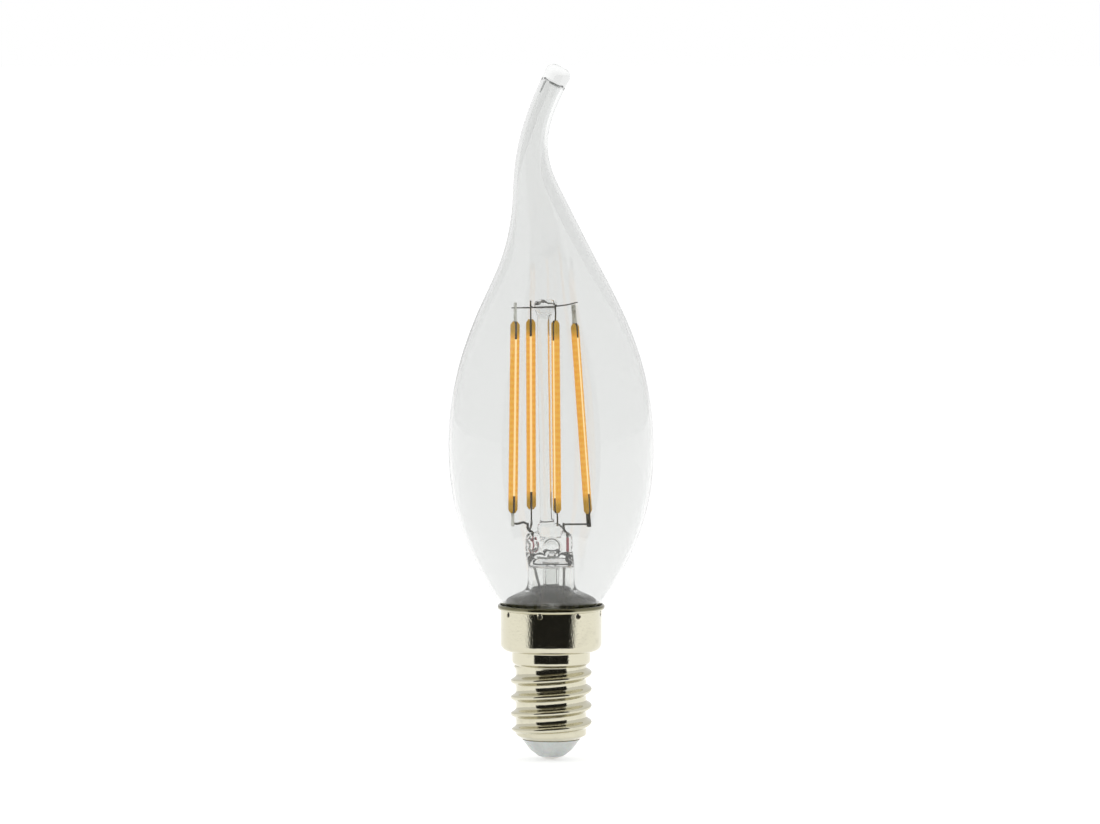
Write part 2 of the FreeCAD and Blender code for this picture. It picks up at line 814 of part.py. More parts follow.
def ridge(name, foot_radius, crest_radius, base_width, top_width, skipped, turns):
    """A helical ridge with a rounded crest, for some turns after those that it skips."""
    helix = doc.addObject("Part::Helix", f"{name}_helix")
    bind(helix, Pitch=thread_pitch, Height=thread_pitch * turns, Radius=root_dia / 2)
    section = doc.addObject("Part::Feature", f"{name}_section")
    shoulder_radius = crest_radius - top_width * dim("crest_rise_share")
    low = point(foot_radius, 0, base_width * -0.5)
    low_shoulder = point(shoulder_radius, 0, top_width * -0.5)
    crest = point(crest_radius, 0, 0)
    high_shoulder = point(shoulder_radius, 0, top_width * 0.5)
    high = point(foot_radius, 0, base_width * 0.5)
    section.Shape = Part.Wire([
        Part.makeLine(low, low_shoulder),
        Part.Arc(low_shoulder, crest, high_shoulder).toShape(),
        Part.makeLine(high_shoulder, high),
        Part.makeLine(high, low),
    ])
    sweep = doc.addObject("Part::Sweep", name)
    sweep.Sections = [section]
    sweep.Spine = (helix, ["Edge1"])
    sweep.Solid = True
    sweep.Frenet = True
    start_turn = dim("thread_start_turn") + skipped * 360
    start = FreeCAD.Rotation(FreeCAD.Vector(0, 0, 1), start_turn.number)
    sweep.Placement = placed(point(0, 0, dim("thread_start_z") + thread_pitch * skipped), start)
    return sweep


def overlap(name, form, limit):
    """The part of one solid inside another."""
    common = doc.addObject("Part::Common", name)
    common.Base = form
    common.Tool = limit
    return common


outer_ridge = ridge("outer_ridge", root_dia / 2 - half_wall, crest_dia / 2, ridge_base,
                    dim("crest_width"), as_size(0), dim("thread_turns"))
groove = ridge("groove", root_dia / 2 - cap_wall - half_wall, crest_dia / 2 - cap_wall,
               ridge_base - cap_wall, dim("groove_width"), dim("groove_lead_in"), dim("groove_turns"))
root_length = collar_foot_z - cap_foot_z + thread_pitch * 2
root_base = placed(point(0, 0, cap_foot_z - thread_pitch))
root_tube = cut("root_tube", cylinder("root_bar", root_dia, root_length, root_base),
                [cylinder("root_bore", root_dia - cap_wall * 2, root_length, root_base)])
ridged_tube = fused("ridged_tube", [root_tube, outer_ridge])
rolled_tube = cut("rolled_tube", ridged_tube, [groove])
run_out = turned(
    "run_out",
    [
        (0, root_foot_z),
        (root_dia / 2, root_foot_z),
        (crest_dia / 2 + cap_wall, root_foot_z + fade_height),
        (crest_dia / 2 + cap_wall, neck_ring_z - fade_height),
        (neck_ring_dia / 2, neck_ring_z),
        (0, neck_ring_z),
    ],
)
threaded_zone = overlap("threaded_zone", rolled_tube, run_out)
dimple_dia = dim("dimple_dia")
dimple_depth = dim("dimple_depth")
dent_radius = (dimple_dia * dimple_dia / 4 + dimple_depth * dimple_depth) / (dimple_depth * 2)
dents = []
bumps = []
for number in range(int(dim("dimple_count").number)):
    turn = math.radians(dim("dimple_turn").number + 360 * number / dim("dimple_count").number)
    reach = (collar_dia / 2 + dent_radius - dimple_depth).number
    centre = point(reach * math.cos(turn), reach * math.sin(turn), dim("dimple_z"))
    for balls, kind, radius in ((dents, "dent", dent_radius), (bumps, "bump", dent_radius + cap_wall)):
        ball = doc.addObject("Part::Sphere", f"{kind}{number}")
        bind(ball, Radius=radius)
        ball.Placement = placed(centre)
        balls.append(ball)
collar_inside = cylinder("collar_inside", collar_dia - cap_wall, bead_z - collar_foot_z,
                         placed(point(0, 0, collar_foot_z)))
inward_bumps = overlap("inward_bumps", group("bump_group", bumps), collar_inside)
punched_collar = cut("punched_collar", fused("bumped_collar", [collar, inward_bumps]),
                     [group("dent_group", dents)])
cap_shell = fused("cap_shell_body", [threaded_zone, punched_collar, cap_foot])

# Foot of the cap: a domed insulator and the centre contact with its pin

contact_dia = dim("contact_dia")
contact_thick = dim("contact_thick")
pin_dia = dim("pin_dia")
gap = dim("running_gap")
contact_edge_z = dim("contact_edge_z")
insulator_top_z = dim("insulator_top_z")
insulator_mid_z = dim("insulator_mid_z")
insulator_mid_dia = dim("insulator_mid_dia")
plug_dia = cap_foot_dia - cap_wall * 2 - gap * 2
insulator = turned(
    "insulator",
    [
        (pin_dia / 2, contact_thick),
        (contact_dia / 2, contact_thick),
        (contact_dia / 2 + gap, contact_edge_z),
        (insulator_mid_dia / 2, insulator_mid_z),
        (cap_foot_dia / 2, cap_foot_z),
        (plug_dia / 2, cap_foot_z),
        (plug_dia / 2, insulator_top_z),
        (pin_dia / 2, insulator_top_z),
    ],
    [(3, dim("insulator_round"))],
)
rivet_top_z = insulator_top_z + dim("rivet_height")
centre_contact = turned(
    "centre_contact",
    [
        (0, 0),
        (dim("contact_flat_dia") / 2, 0),
        (contact_dia / 2, contact_edge_z),
        (contact_dia / 2, contact_thick),
        (pin_dia / 2, contact_thick),
        (pin_dia / 2, rivet_top_z),
        (0, rivet_top_z),
    ],
    [(1, contact_thick)],
)

# Cement between the glass neck and the collar

cement_top_z = dim("cement_top_z")
cement_ring = turned(
    "cement_ring",
    [
        (seal_dia / 2 + gap, flange_z),
        (collar_dia / 2 - cap_wall, flange_z),
        (collar_dia / 2 - cap_wall, cement_top_z),
        (seal_dia / 2 + gap, cement_top_z),
    ],
)

# Driver: an upright board with its parts, wired to the leads, the cap and the contact

board_width = dim("board_width")
board_thick = dim("board_thick")
board_foot_z = dim("board_foot_z")
front_y = as_size(0) - board_thick / 2
back_y = board_thick / 2
circuit_board = block("circuit_board", board_width, board_thick, dim("board_height"),
                      placed(point(board_width * -0.5, front_y, board_foot_z)))


def chip(name):
    """A moulded chip on the front of the board, on the board's middle."""
    width = dim(f"{name}_width")
    thick = dim(f"{name}_thick")
    corner = point(width * -0.5, front_y - thick, dim(f"{name}_z"))
    return block(name, width, thick, dim(f"{name}_height"), placed(corner))


def canister(name):
    """A round component that stands against the back of the board."""
    diameter = dim(f"{name}_dia")
    base = point(dim(f"{name}_x"), back_y + diameter / 2, dim(f"{name}_z"))
    return cylinder(name, diameter, dim(f"{name}_height"), placed(base))


rectifier = chip("rectifier")
regulator = chip("regulator")
capacitor = canister("capacitor")
fuse = canister("fuse")
contact_wire = cylinder("contact_wire", branch_dia, board_foot_z - rivet_top_z,
                        placed(point(0, 0, rivet_top_z)))
sideways = FreeCAD.Rotation(FreeCAD.Vector(0, 1, 0), 90)
shell_wire_z = (neck_ring_z + collar_foot_z) / 2
shell_wire = cylinder("cap_wire", branch_dia,
                      neck_ring_dia / 2 - cap_wall - gap - board_width / 2,
                      placed(point(board_width / 2, 0, shell_wire_z), sideways))

SUB_PARTS = {
    "glass_envelope": glass_envelope,
    "glass_stem": glass_stem,
    "exhaust_tube": exhaust_tube,
    "support_rod": support_rod,
    "long_top_wire": long_top_wire,
    "short_top_wire": short_top_wire,
    "left_outer_lead": left_wires[0],
    "left_seal_wire": left_wires[1],
    "left_inner_lead": left_inner_lead,
    "right_outer_lead": right_wires[0],
    "right_seal_wire": right_wires[1],
    "right_inner_lead": right_inner_lead,
    "left_branch_wire": branches["left"],
    "back_branch_wire": branches["back"],
    "front_branch_wire": branches["front"],
    "right_branch_wire": branches["right"],
    **dict(filament_pieces),
    "cap_shell": cap_shell,
    "cap_insulator": insulator,
    "centre_contact": centre_contact,
    "cement_ring": cement_ring,
    "circuit_board": circuit_board,
    "bridge_rectifier": rectifier,
    "current_regulator": regulator,
    "smoothing_capacitor": capacitor,
    "fuse_resistor": fuse,
    "contact_wire": contact_wire,
    "cap_wire": shell_wire,
}
for label, piece in SUB_PARTS.items():
    piece.Label = label
doc.recompute()

for item in doc.Objects:
    if "Invalid" in item.State or "Error" in item.State:
        raise RuntimeError(f"{item.Name} failed: {item.State}")
for label, piece in SUB_PARTS.items():
    if piece.Shape.isNull() or not piece.Shape.isValid() or not piece.Shape.Solids:
        raise RuntimeError(f"{label} has no valid solid")

os.makedirs("parts", exist_ok=True)
for label, piece in SUB_PARTS.items():
    piece.Shape.exportStep(f"parts/{label}.step")
    print(f"{label}: {len(piece.Shape.Solids)} solid, {piece.Shape.Volume:.2f} cubic mm")
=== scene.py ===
"""Candle lamp with four filaments, a bent glass tip and a small rolled screw cap.

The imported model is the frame. This script adds the finer glass, cap, wires and filaments, gives
every piece its finish, and sets the pale studio that the lamp stands in. Lengths are metres, but
for names that end in _mm and the parts of the lamp, which are in millimetres.
"""
import logging
import math
from dataclasses import dataclass
from enum import Enum
from typing import Any, Callable, ClassVar, Iterable, Mapping, Sequence

import bmesh
import bpy
from mathutils import Matrix, Vector
from mathutils.geometry import intersect_point_line


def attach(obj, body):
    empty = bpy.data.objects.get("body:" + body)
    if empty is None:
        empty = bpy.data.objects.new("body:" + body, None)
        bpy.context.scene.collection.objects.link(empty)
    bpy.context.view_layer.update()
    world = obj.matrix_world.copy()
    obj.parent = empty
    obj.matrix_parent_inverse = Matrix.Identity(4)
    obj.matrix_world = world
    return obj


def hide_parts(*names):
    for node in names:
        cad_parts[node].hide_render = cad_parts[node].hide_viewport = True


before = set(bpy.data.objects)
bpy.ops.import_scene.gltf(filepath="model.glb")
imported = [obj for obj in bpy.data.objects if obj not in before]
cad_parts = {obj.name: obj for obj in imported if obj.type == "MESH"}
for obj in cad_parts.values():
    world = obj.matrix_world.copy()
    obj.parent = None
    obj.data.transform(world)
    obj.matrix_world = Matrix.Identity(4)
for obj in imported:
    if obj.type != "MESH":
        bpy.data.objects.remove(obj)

MM = 0.001
WIRE_BEND_MM = 0.5
WIRE_END_SHARE = 0.8
ROOT = "root"
LOG = logging.getLogger("candle_lamp")
Colour = tuple[float, float, float]
Place = tuple[float, float, float]
Outline = Sequence[tuple[float, float]]
Ring = list[bmesh.types.BMVert]
Node = bpy.types.Node
Piece = bpy.types.Object
BLACK: Colour = (0.0, 0.0, 0.0)
WHITE: Colour = (1.0, 1.0, 1.0)
UP = Vector((0.0, 0.0, 1.0))


# Shader expressions


def operator(operation: str, reflected: bool = False) -> Callable[["Value", Any], "Value"]:
    """An operator of Value, which adds a Math node.

    Args:
        operation: The node's operation.
        reflected: True where the other number stands first.

    Returns:
        The method.
    """
    def method(self: "Value", other: "Value | float") -> "Value":
        """The node's result."""
        pair = (other, self) if reflected else (self, other)
        return self.graph.maths(operation, *pair)
    return method


class Value:
    """A shader socket that can stand in a Python expression."""

    __add__ = operator("ADD")
    __radd__ = operator("ADD", True)
    __sub__ = operator("SUBTRACT")
    __rsub__ = operator("SUBTRACT", True)
    __mul__ = operator("MULTIPLY")
    __rmul__ = operator("MULTIPLY", True)
    __truediv__ = operator("DIVIDE")
    __rtruediv__ = operator("DIVIDE", True)
    __gt__ = operator("GREATER_THAN")
    __lt__ = operator("LESS_THAN")
    __or__ = operator("MAXIMUM")

    def __init__(self, graph: "Graph", socket: bpy.types.NodeSocket) -> None:
        """Keep the graph that new Math nodes go into, and the socket.

        Args:
            graph: The node graph.
            socket: The output socket.
        """
        self.graph = graph
        self.socket = socket

    def __abs__(self) -> "Value":
        """The size of this without its sign."""
        return self.graph.maths("ABSOLUTE", self, 0.0)

    def ramp(self, start: float, end: float) -> "Value":
        """0 at the start value and 1 at the end value, smooth between them."""
        node = self.graph.add("MapRange", {"interpolation_type": "SMOOTHSTEP"},
                              {"Value": self, "From Min": start, "From Max": end})
        return Value(self.graph, node.outputs["Result"])


class Graph:
    """A node tree that is filled by expressions."""

    def __init__(self, tree: bpy.types.NodeTree) -> None:
        """Empty the tree.

        Args:
            tree: The material's or world's node tree.
        """
        self.tree = tree
        tree.nodes.clear()

    def add(self, kind: str, settings: Mapping[str, Any] | None = None,
            inputs: Mapping[str | int, Any] | None = None) -> Node:
        """Add one node.

        Args:
            kind: The node's type, without its ShaderNode.
            settings: Its settings.
            inputs: The numbers, colours or links of its sockets.

        Returns:
            The node.
        """
        node = self.tree.nodes.new(f"ShaderNode{kind}")
        for name, setting in (settings or {}).items():
            setattr(node, name, setting)
        for name, source in (inputs or {}).items():
            self.feed(node.inputs[name], source)
        return node

    def feed(self, socket: bpy.types.NodeSocket, source: Any) -> None:
        """Link a socket, or set its own value.

        Args:
            socket: The input socket.
            source: A value, a socket, a number or a colour.
        """
        if isinstance(source, Value):
            source = source.socket
        if isinstance(source, bpy.types.NodeSocket):
            self.tree.links.new(source, socket)
        elif isinstance(source, tuple) and socket.type == "RGBA":
            socket.default_value = (*source, 1.0)
        else:
            socket.default_value = source

    def maths(self, operation: str, left: Value | float, right: Value | float) -> Value:
        """A Math node."""
        node = self.add("Math", {"operation": operation}, {0: left, 1: right})
        return Value(self, node.outputs[0])

    def mixed(self, share: Value | float, first: Any, second: Any) -> Value:
        """A colour between two others.

        Args:
            share: How much of the second.
            first: A colour or a value.
            second: A colour or a value.

        Returns:
            The mixed colour.
        """
        node = self.add("Mix", {"data_type": "RGBA"}, {0: share, 6: first, 7: second})
        return Value(self, node.outputs[2])

    def place(self) -> Value:
        """The place on the piece, in metres of the row frame."""
        return Value(self, self.add("TexCoord").outputs["Object"])

    def axis(self, name: str) -> Value:
        """One coordinate of the place on the piece: X, Y or Z."""
        node = self.add("SeparateXYZ", None, {0: self.place()})
        return Value(self, node.outputs[name])

    def noise(self, size_mm: float, detail: float = 2.0, stretch: Place = (1.0, 1.0, 1.0)) -> Value:
        """Cloudy noise.

        Args:
            size_mm: The size of its patches.
            detail: How many finer layers it has.
            stretch: How much finer it is along each axis.

        Returns:
            A value about 0.5.
        """
        scaled = self.add("VectorMath", {"operation": "MULTIPLY"},
                          {0: self.place(), 1: stretch})
        node = self.add("TexNoise", None,
                        {"Vector": scaled.outputs[0], "Scale": 1.0 / (size_mm * MM), "Detail": detail})
        return Value(self, node.outputs["Fac"])

    def bump(self, height: Value, depth_mm: float) -> Value:
        """Relief on the surface.

        Args:
            height: Its height, from 0 to 1.
            depth_mm: How far 1 lies above 0.

        Returns:
            The bumped normal.
        """
        node = self.add("Bump", None, {"Height": height, "Distance": depth_mm * MM})
        return Value(self, node.outputs["Normal"])

    def principled(self, inputs: Mapping[str, Any]) -> Node:
        """A Principled shader."""
        return self.add("BsdfPrincipled", None, inputs)

    def either(self, share: Value, first: Node, second: Node) -> Node:
        """A shader between two others.

        Args:
            share: How much of the second.
            first: A shader.
            second: A shader.

        Returns:
            The Mix Shader node.
        """
        return self.add("MixShader", None,
                        {0: share, 1: first.outputs[0], 2: second.outputs[0]})

    def ray(self, name: str) -> Value:
        """What the light path says of a ray."""
        return Value(self, self.add("LightPath").outputs[name])

    def seen(self) -> Value:
        """1 for a ray from the camera, by a mirror and through glass too, else 0."""
        return self.ray("Is Camera Ray") + self.ray("Is Glossy Ray") + self.ray("Is Transmission Ray")


# Finishes


class Finish:
    """A finish that makes one material for the pieces that share it."""

    name = "finish"
    made: ClassVar[dict[str, bpy.types.Material]] = {}

    def paint(self, graph: Graph) -> Node:
        """Build the shader.

        Args:
            graph: The material's graph.

        Returns:
            The node whose first output is the surface.
        """
        raise NotImplementedError

    def material(self) -> bpy.types.Material:
        """The material, made the first time it is asked for."""
        if self.name not in self.made:
            fresh = bpy.data.materials.new(f"{self.name}_finish")
            fresh.use_nodes = True
            graph = Graph(fresh.node_tree)
            surface = self.paint(graph)
            graph.add("OutputMaterial", None, {"Surface": surface.outputs[0]})
            self.made[self.name] = fresh
        return self.made[self.name]


@dataclass(frozen=True)
class ClearGlass(Finish):
    """Clear glass, faintly uneven from blowing or pressing, with a tint from its foot up to a height,
    which on the stem is painted shade, and with painted shade at its grazing edges.

    With a foot_shade_share the foot also takes streaked painted shade, which stands for the dark cap
    behind it.
    """

    name: str = "clear_glass"
    tint: Colour = (0.828, 0.834, 0.828)
    # On the stem the foot's tint is painted shade, darkest from foot_z down.
    foot_shade_tint: Colour = (0.828, 0.834, 0.828)
    # The edge tint is painted shade where the glass turns edge-on to the eye.
    edge_shade_tint: Colour = (0.62, 0.63, 0.62)
    ior: float = 1.5
    ripple_mm: float = 9.0
    ripple_depth_mm: float = 0.02
    foot_z: float = 0.0270
    clear_z: float = 0.0284
    foot_wave: float = 0.0012
    # Painted shade on the stem's foot, for the dark cap behind it.
    foot_shade: Colour = (0.020, 0.020, 0.004)
    foot_shade_share: float = 0.0
    edge_start: float = 0.82
    open_tint: Colour = (0.99, 0.99, 0.99)

    def paint(self, graph: Graph) -> Node:
        """Glass to the eye, open to lamps and to soft light so that what it holds is lit."""
        waves = graph.noise(self.ripple_mm, 1.0, (1.0, 1.0, 0.4))
        # The foot's painted shade fades in from clear_z down to foot_z.
        level = graph.axis("Z") + graph.noise(1.6, 2.0) * self.foot_wave
        foot = level.ramp(self.clear_z, self.foot_z)
        if self.foot_shade_share:
            # Lighter streaks and a lighter middle in the painted shade, for the tube and leads seen
            # through it.
            shade_streaks = graph.noise(0.9, 2.0, (1.0, 1.0, 0.08)).ramp(0.42, 0.58) * 0.4 + 0.6
            sides = abs(graph.axis("X")).ramp(0.0006, 0.0030) * 0.5 + 0.5
            foot = foot * shade_streaks * sides
        # Painted shade towards the glass's grazing edges.
        weight = graph.add("LayerWeight", None, {"Blend": 0.5})
        edge = Value(graph, weight.outputs["Facing"]).ramp(self.edge_start, 1.0)
        through = graph.mixed(edge, self.tint, self.edge_shade_tint)
        glass = graph.principled({
            "Base Color": graph.mixed(foot, through, self.foot_shade_tint),
            "Roughness": 0.0, "IOR": self.ior, "Transmission Weight": 1.0,
            "Normal": graph.bump(waves, self.ripple_depth_mm)})
        # Painted shade mixed over the glass of the foot.
        if self.foot_shade_share:
            shade = graph.principled({"Base Color": self.foot_shade, "Roughness": 0.5,
                                      "Specular IOR Level": 0.1})
            glass = graph.either(foot * self.foot_shade_share, glass, shade)
        clear = graph.add("BsdfTransparent", None, {"Color": self.open_tint})
        return graph.either(graph.ray("Is Shadow Ray") | graph.ray("Is Diffuse Ray"), glass, clear)


@dataclass(frozen=True)
class Plating(Finish):
    """Bright plating on rolled sheet, with a fine grain and faint stains."""

    name: str = "nickel_plating"
    colour: Colour = (0.625, 0.597, 0.468)
    stain: Colour = (0.46, 0.435, 0.335)
    gloss: float = 0.09
    grain_mm: float = 0.3
    grain_depth_mm: float = 0.038
    # Darker towards the top of the rolled rim, from rim_z up.
    rim_colour: Colour = (0.16, 0.15, 0.085)
    rim_z: float = 0.0256
    rim_share: float = 0.92
    smooth_z: float = 0.0190
    thread_peel: float = 0.15
    stain_mm: float = 2.6
    stain_share: float = 0.5

    def paint(self, graph: Graph) -> Node:
        """Metal with an orange-peel grain, duller where it is stained."""
        stains = graph.noise(self.stain_mm, 5.0).ramp(0.56, 0.78)
        up = graph.axis("Z")
        collar = up.ramp(self.smooth_z, self.smooth_z + 0.8 * MM)
        rim = up.ramp(self.rim_z, self.rim_z + 0.4 * MM) * self.rim_share
        peel = graph.noise(self.grain_mm, 3.0) * (collar * (1.0 - self.thread_peel) + self.thread_peel)
        scuffs = graph.noise(0.9, 4.0, (1.0, 1.0, 6.0)).ramp(0.55, 0.8)
        metal = graph.mixed(stains * self.stain_share, self.colour, self.stain)
        return graph.principled({
            "Base Color": graph.mixed(rim, metal, self.rim_colour),
            "Metallic": 1.0,
            "Roughness": self.gloss + stains * 0.1 + scuffs * 0.06,
            "Normal": graph.bump(peel, self.grain_depth_mm)})


@dataclass(frozen=True)
class DrawnWire(Finish):
    """Drawn metal wire with fine lines along it and darker heat marks."""

    name: str = "nickel_wire"
    colour: Colour = (0.15, 0.145, 0.13)
    mark: Colour = (0.05, 0.045, 0.038)
    gloss: float = 0.3
    mark_mm: float = 1.4
    line_mm: float = 0.16

    def paint(self, graph: Graph) -> Node:
        """Metal with heat marks."""
        marks = graph.noise(self.mark_mm, 3.0).ramp(0.48, 0.7)
        lines = graph.noise(self.line_mm, 2.0, (1.0, 1.0, 0.2))
        return graph.principled({
            "Base Color": graph.mixed(marks, self.colour, self.mark),
            "Metallic": 1.0,
            "Roughness": self.gloss + marks * 0.2,
            "Normal": graph.bump(lines, 0.01)})


@dataclass(frozen=True)
class Moulded(Finish):
    """Moulded, fired or lacquered material with a fine mottle."""

    name: str = "moulded"
    colour: Colour = (0.7, 0.7, 0.7)
    shade: Colour = (0.6, 0.6, 0.6)
    roughness: float = 0.4
    mottle_mm: float = 1.2
    relief_mm: float = 0.01
    glow: float = 0.0
    coat: float = 0.0

    def paint(self, graph: Graph) -> Node:
        """An even surface with a mottle in its colour and gloss."""
        mottle = graph.noise(self.mottle_mm, 4.0).ramp(0.35, 0.7)
        fine = graph.noise(self.mottle_mm * 0.2, 3.0)
        return graph.principled({
            "Base Color": graph.mixed(mottle, self.colour, self.shade),
            "Roughness": self.roughness + mottle * 0.12,
            "Subsurface Weight": self.glow,
            "Subsurface Scale": 0.0006,
            "Coat Weight": self.coat,
            "Normal": graph.bump(fine, self.relief_mm)})


@dataclass(frozen=True)
class AmberCoat(Finish):
    """Amber silicone over the chips: bright along its length with a painted glow, and browner at its
    bare ends.
    """

    name: str = "amber_coat"
    colour: Colour = (0.96, 0.40, 0.025)
    chip: Colour = (1.0, 0.50, 0.05)
    end: Colour = (0.56, 0.31, 0.03)
    # The two glows are painted light: the coat shines though the lamp is unlit.
    glow: Colour = (0.14, 0.10, 0.03)
    painted_end_glow: Colour = (0.03, 0.02, 0.0)
    foot_z: float = 0.0422
    top_z: float = 0.0746
    end_mm: float = 3.2
    fade_mm: float = 1.28
    chip_pitch_mm: float = 1.05
    shine: float = 0.12

    def paint(self, graph: Graph) -> Node:
        """Colour by height, with the faint rhythm of the chips under it."""
        up = graph.axis("Z")
        low = up.ramp(self.foot_z + self.end_mm * MM, self.foot_z + self.fade_mm * MM)
        high = up.ramp(self.top_z - self.end_mm * MM, self.top_z - self.fade_mm * MM)
        beat = graph.maths("SINE", up * (math.tau / (self.chip_pitch_mm * MM)), 0.0)
        cloud = graph.noise(0.7, 3.0)
        body = graph.mixed((beat * 0.35 + cloud).ramp(0.2, 0.9), self.colour, self.chip)
        ends = low | high
        return graph.principled({
            "Base Color": graph.mixed(ends, body, self.end),
            "Roughness": 0.4 + cloud * 0.12,
            "Specular IOR Level": self.shine,
            # Painted glow, weaker at the bare ends.
            "Emission Color": graph.mixed(ends, self.glow, self.painted_end_glow),
            "Emission Strength": 1.0,
            "Normal": graph.bump(cloud, 0.03)})


@dataclass(frozen=True)
class StripEdge(Finish):
    """Pale edge of a filament's strip, with a painted glow, and the dark metal of its tabs at both
    ends.
    """

    name: str = "pale_strip"
    colour: Colour = (1.0, 0.86, 0.50)
    shade: Colour = (1.0, 0.76, 0.36)
    metal: Colour = (0.07, 0.055, 0.03)
    # glow is painted light: the pale strip shines though the lamp is unlit.
    glow: Colour = (0.40, 0.27, 0.11)
    foot_z: float = 0.0422
    top_z: float = 0.0746
    metal_mm: float = 2.9

    def paint(self, graph: Graph) -> Node:
        """Colour by height."""
        up = graph.axis("Z")
        low = up < self.foot_z + self.metal_mm * MM
        high = up > self.top_z - self.metal_mm * MM
        ends = low | high
        cloud = graph.noise(0.5, 3.0)
        pale = graph.mixed(cloud, self.colour, self.shade)
        return graph.principled({
            "Base Color": graph.mixed(ends, pale, self.metal),
            "Roughness": 0.35 + cloud * 0.1,
            "Specular IOR Level": 0.15,
            # Painted glow where the strip is pale, none on the tab metal.
            "Emission Color": graph.mixed(ends, self.glow, BLACK),
            "Emission Strength": 1.0,
            "Normal": graph.bump(cloud, 0.01)})


@dataclass(frozen=True)
class CircuitBoard(Finish):
    """Coated board with copper tracks showing through."""

    name: str = "board_green"
    coat: Colour = (0.035, 0.16, 0.06)
    track: Colour = (0.08, 0.27, 0.11)
    pitch_mm: float = 1.3
    upright: float = 0.45
    level: float = 0.2

    def paint(self, graph: Graph) -> Node:
        """Upright and level tracks by position."""
        across = graph.maths("FRACT", graph.axis("X") / (self.pitch_mm * MM), 0.0)
        up = graph.maths("FRACT", graph.axis("Z") / (self.pitch_mm * 2.0 * MM), 0.0)
        tracks = (across < self.upright) | (up < self.level)
        return graph.principled({
            "Base Color": graph.mixed(tracks, self.coat, self.track),
            "Roughness": 0.35 + graph.noise(0.5) * 0.15,
            "Normal": graph.bump(tracks, 0.03)})


GLASS = ClearGlass()
# The stem's foot is painted dark: painted shade for the dark cap behind it.
STEM_GLASS = ClearGlass("stem_glass", (0.965, 0.97, 0.96), (0.10, 0.10, 0.045), (0.8, 0.81, 0.8),
                        1.52, 3.0, 0.05, foot_z=0.0282, clear_z=0.0294, foot_shade_share=0.95)
# Near-black glass: painted shade along the press's folds and the blow hole's ring.
FOLD_SHADE = ClearGlass("fold_shade", *[(0.08, 0.08, 0.072)] * 3)
# Dark glass: painted shade at the closed end of the tip's hollow.
SEAL_SHADE = ClearGlass("seal_shade", *[(0.13, 0.135, 0.13)] * 3)
CAP_PLATING = Plating()
CONTACT_PLATING = Plating("contact_plating", (0.74, 0.73, 0.70), (0.5, 0.49, 0.45), 0.2, 0.3, 0.01)
INSULATOR_WHITE = Moulded("insulator_white", (0.72, 0.75, 0.73), (0.62, 0.65, 0.63),
                          0.22, 2.5, 0.01, 0.2, 0.3)
CEMENT = Moulded("cement", (0.09, 0.085, 0.06), (0.05, 0.048, 0.034), 0.85, 0.6, 0.08)
NICKEL_WIRE = DrawnWire()
TAB_STEEL = DrawnWire("tab_steel", (0.09, 0.075, 0.04), (0.05, 0.04, 0.025), 0.4)
PALE_TAB = DrawnWire("pale_tab", (0.62, 0.62, 0.56), (0.34, 0.33, 0.28), 0.35)
TINNED_COPPER = DrawnWire("tinned_copper", (0.62, 0.58, 0.52), (0.5, 0.35, 0.22), 0.3)
SEAL_OXIDE = Moulded("seal_oxide", (0.42, 0.035, 0.05), (0.20, 0.02, 0.03), 0.4, 0.5, 0.02)
AMBER = AmberCoat()
PALE_STRIP = StripEdge()
# Painted shade for the punched dimples of the collar.
DIMPLE_SHADE = Moulded("dimple_shade", (0.035, 0.03, 0.018), (0.02, 0.018, 0.01), 0.5, 0.3, 0.01)
# Painted shade for the inside of the cap.
CAP_INSIDE_SHADE = Moulded("cap_inside_shade", (0.055, 0.053, 0.036), (0.035, 0.034, 0.022), 0.75, 0.9, 0.03)
BOARD = CircuitBoard()
CHIP_BLACK = Moulded("chip_black", (0.02, 0.02, 0.022), (0.035, 0.035, 0.037), 0.5, 0.6, 0.02)
CAN = DrawnWire("capacitor_can", (0.60, 0.61, 0.62), (0.45, 0.46, 0.47), 0.3)
RESISTOR = Moulded("resistor_body", (0.05, 0.17, 0.28), (0.04, 0.12, 0.22), 0.3, 0.8, 0.02, 0.0, 0.5)


# Forms


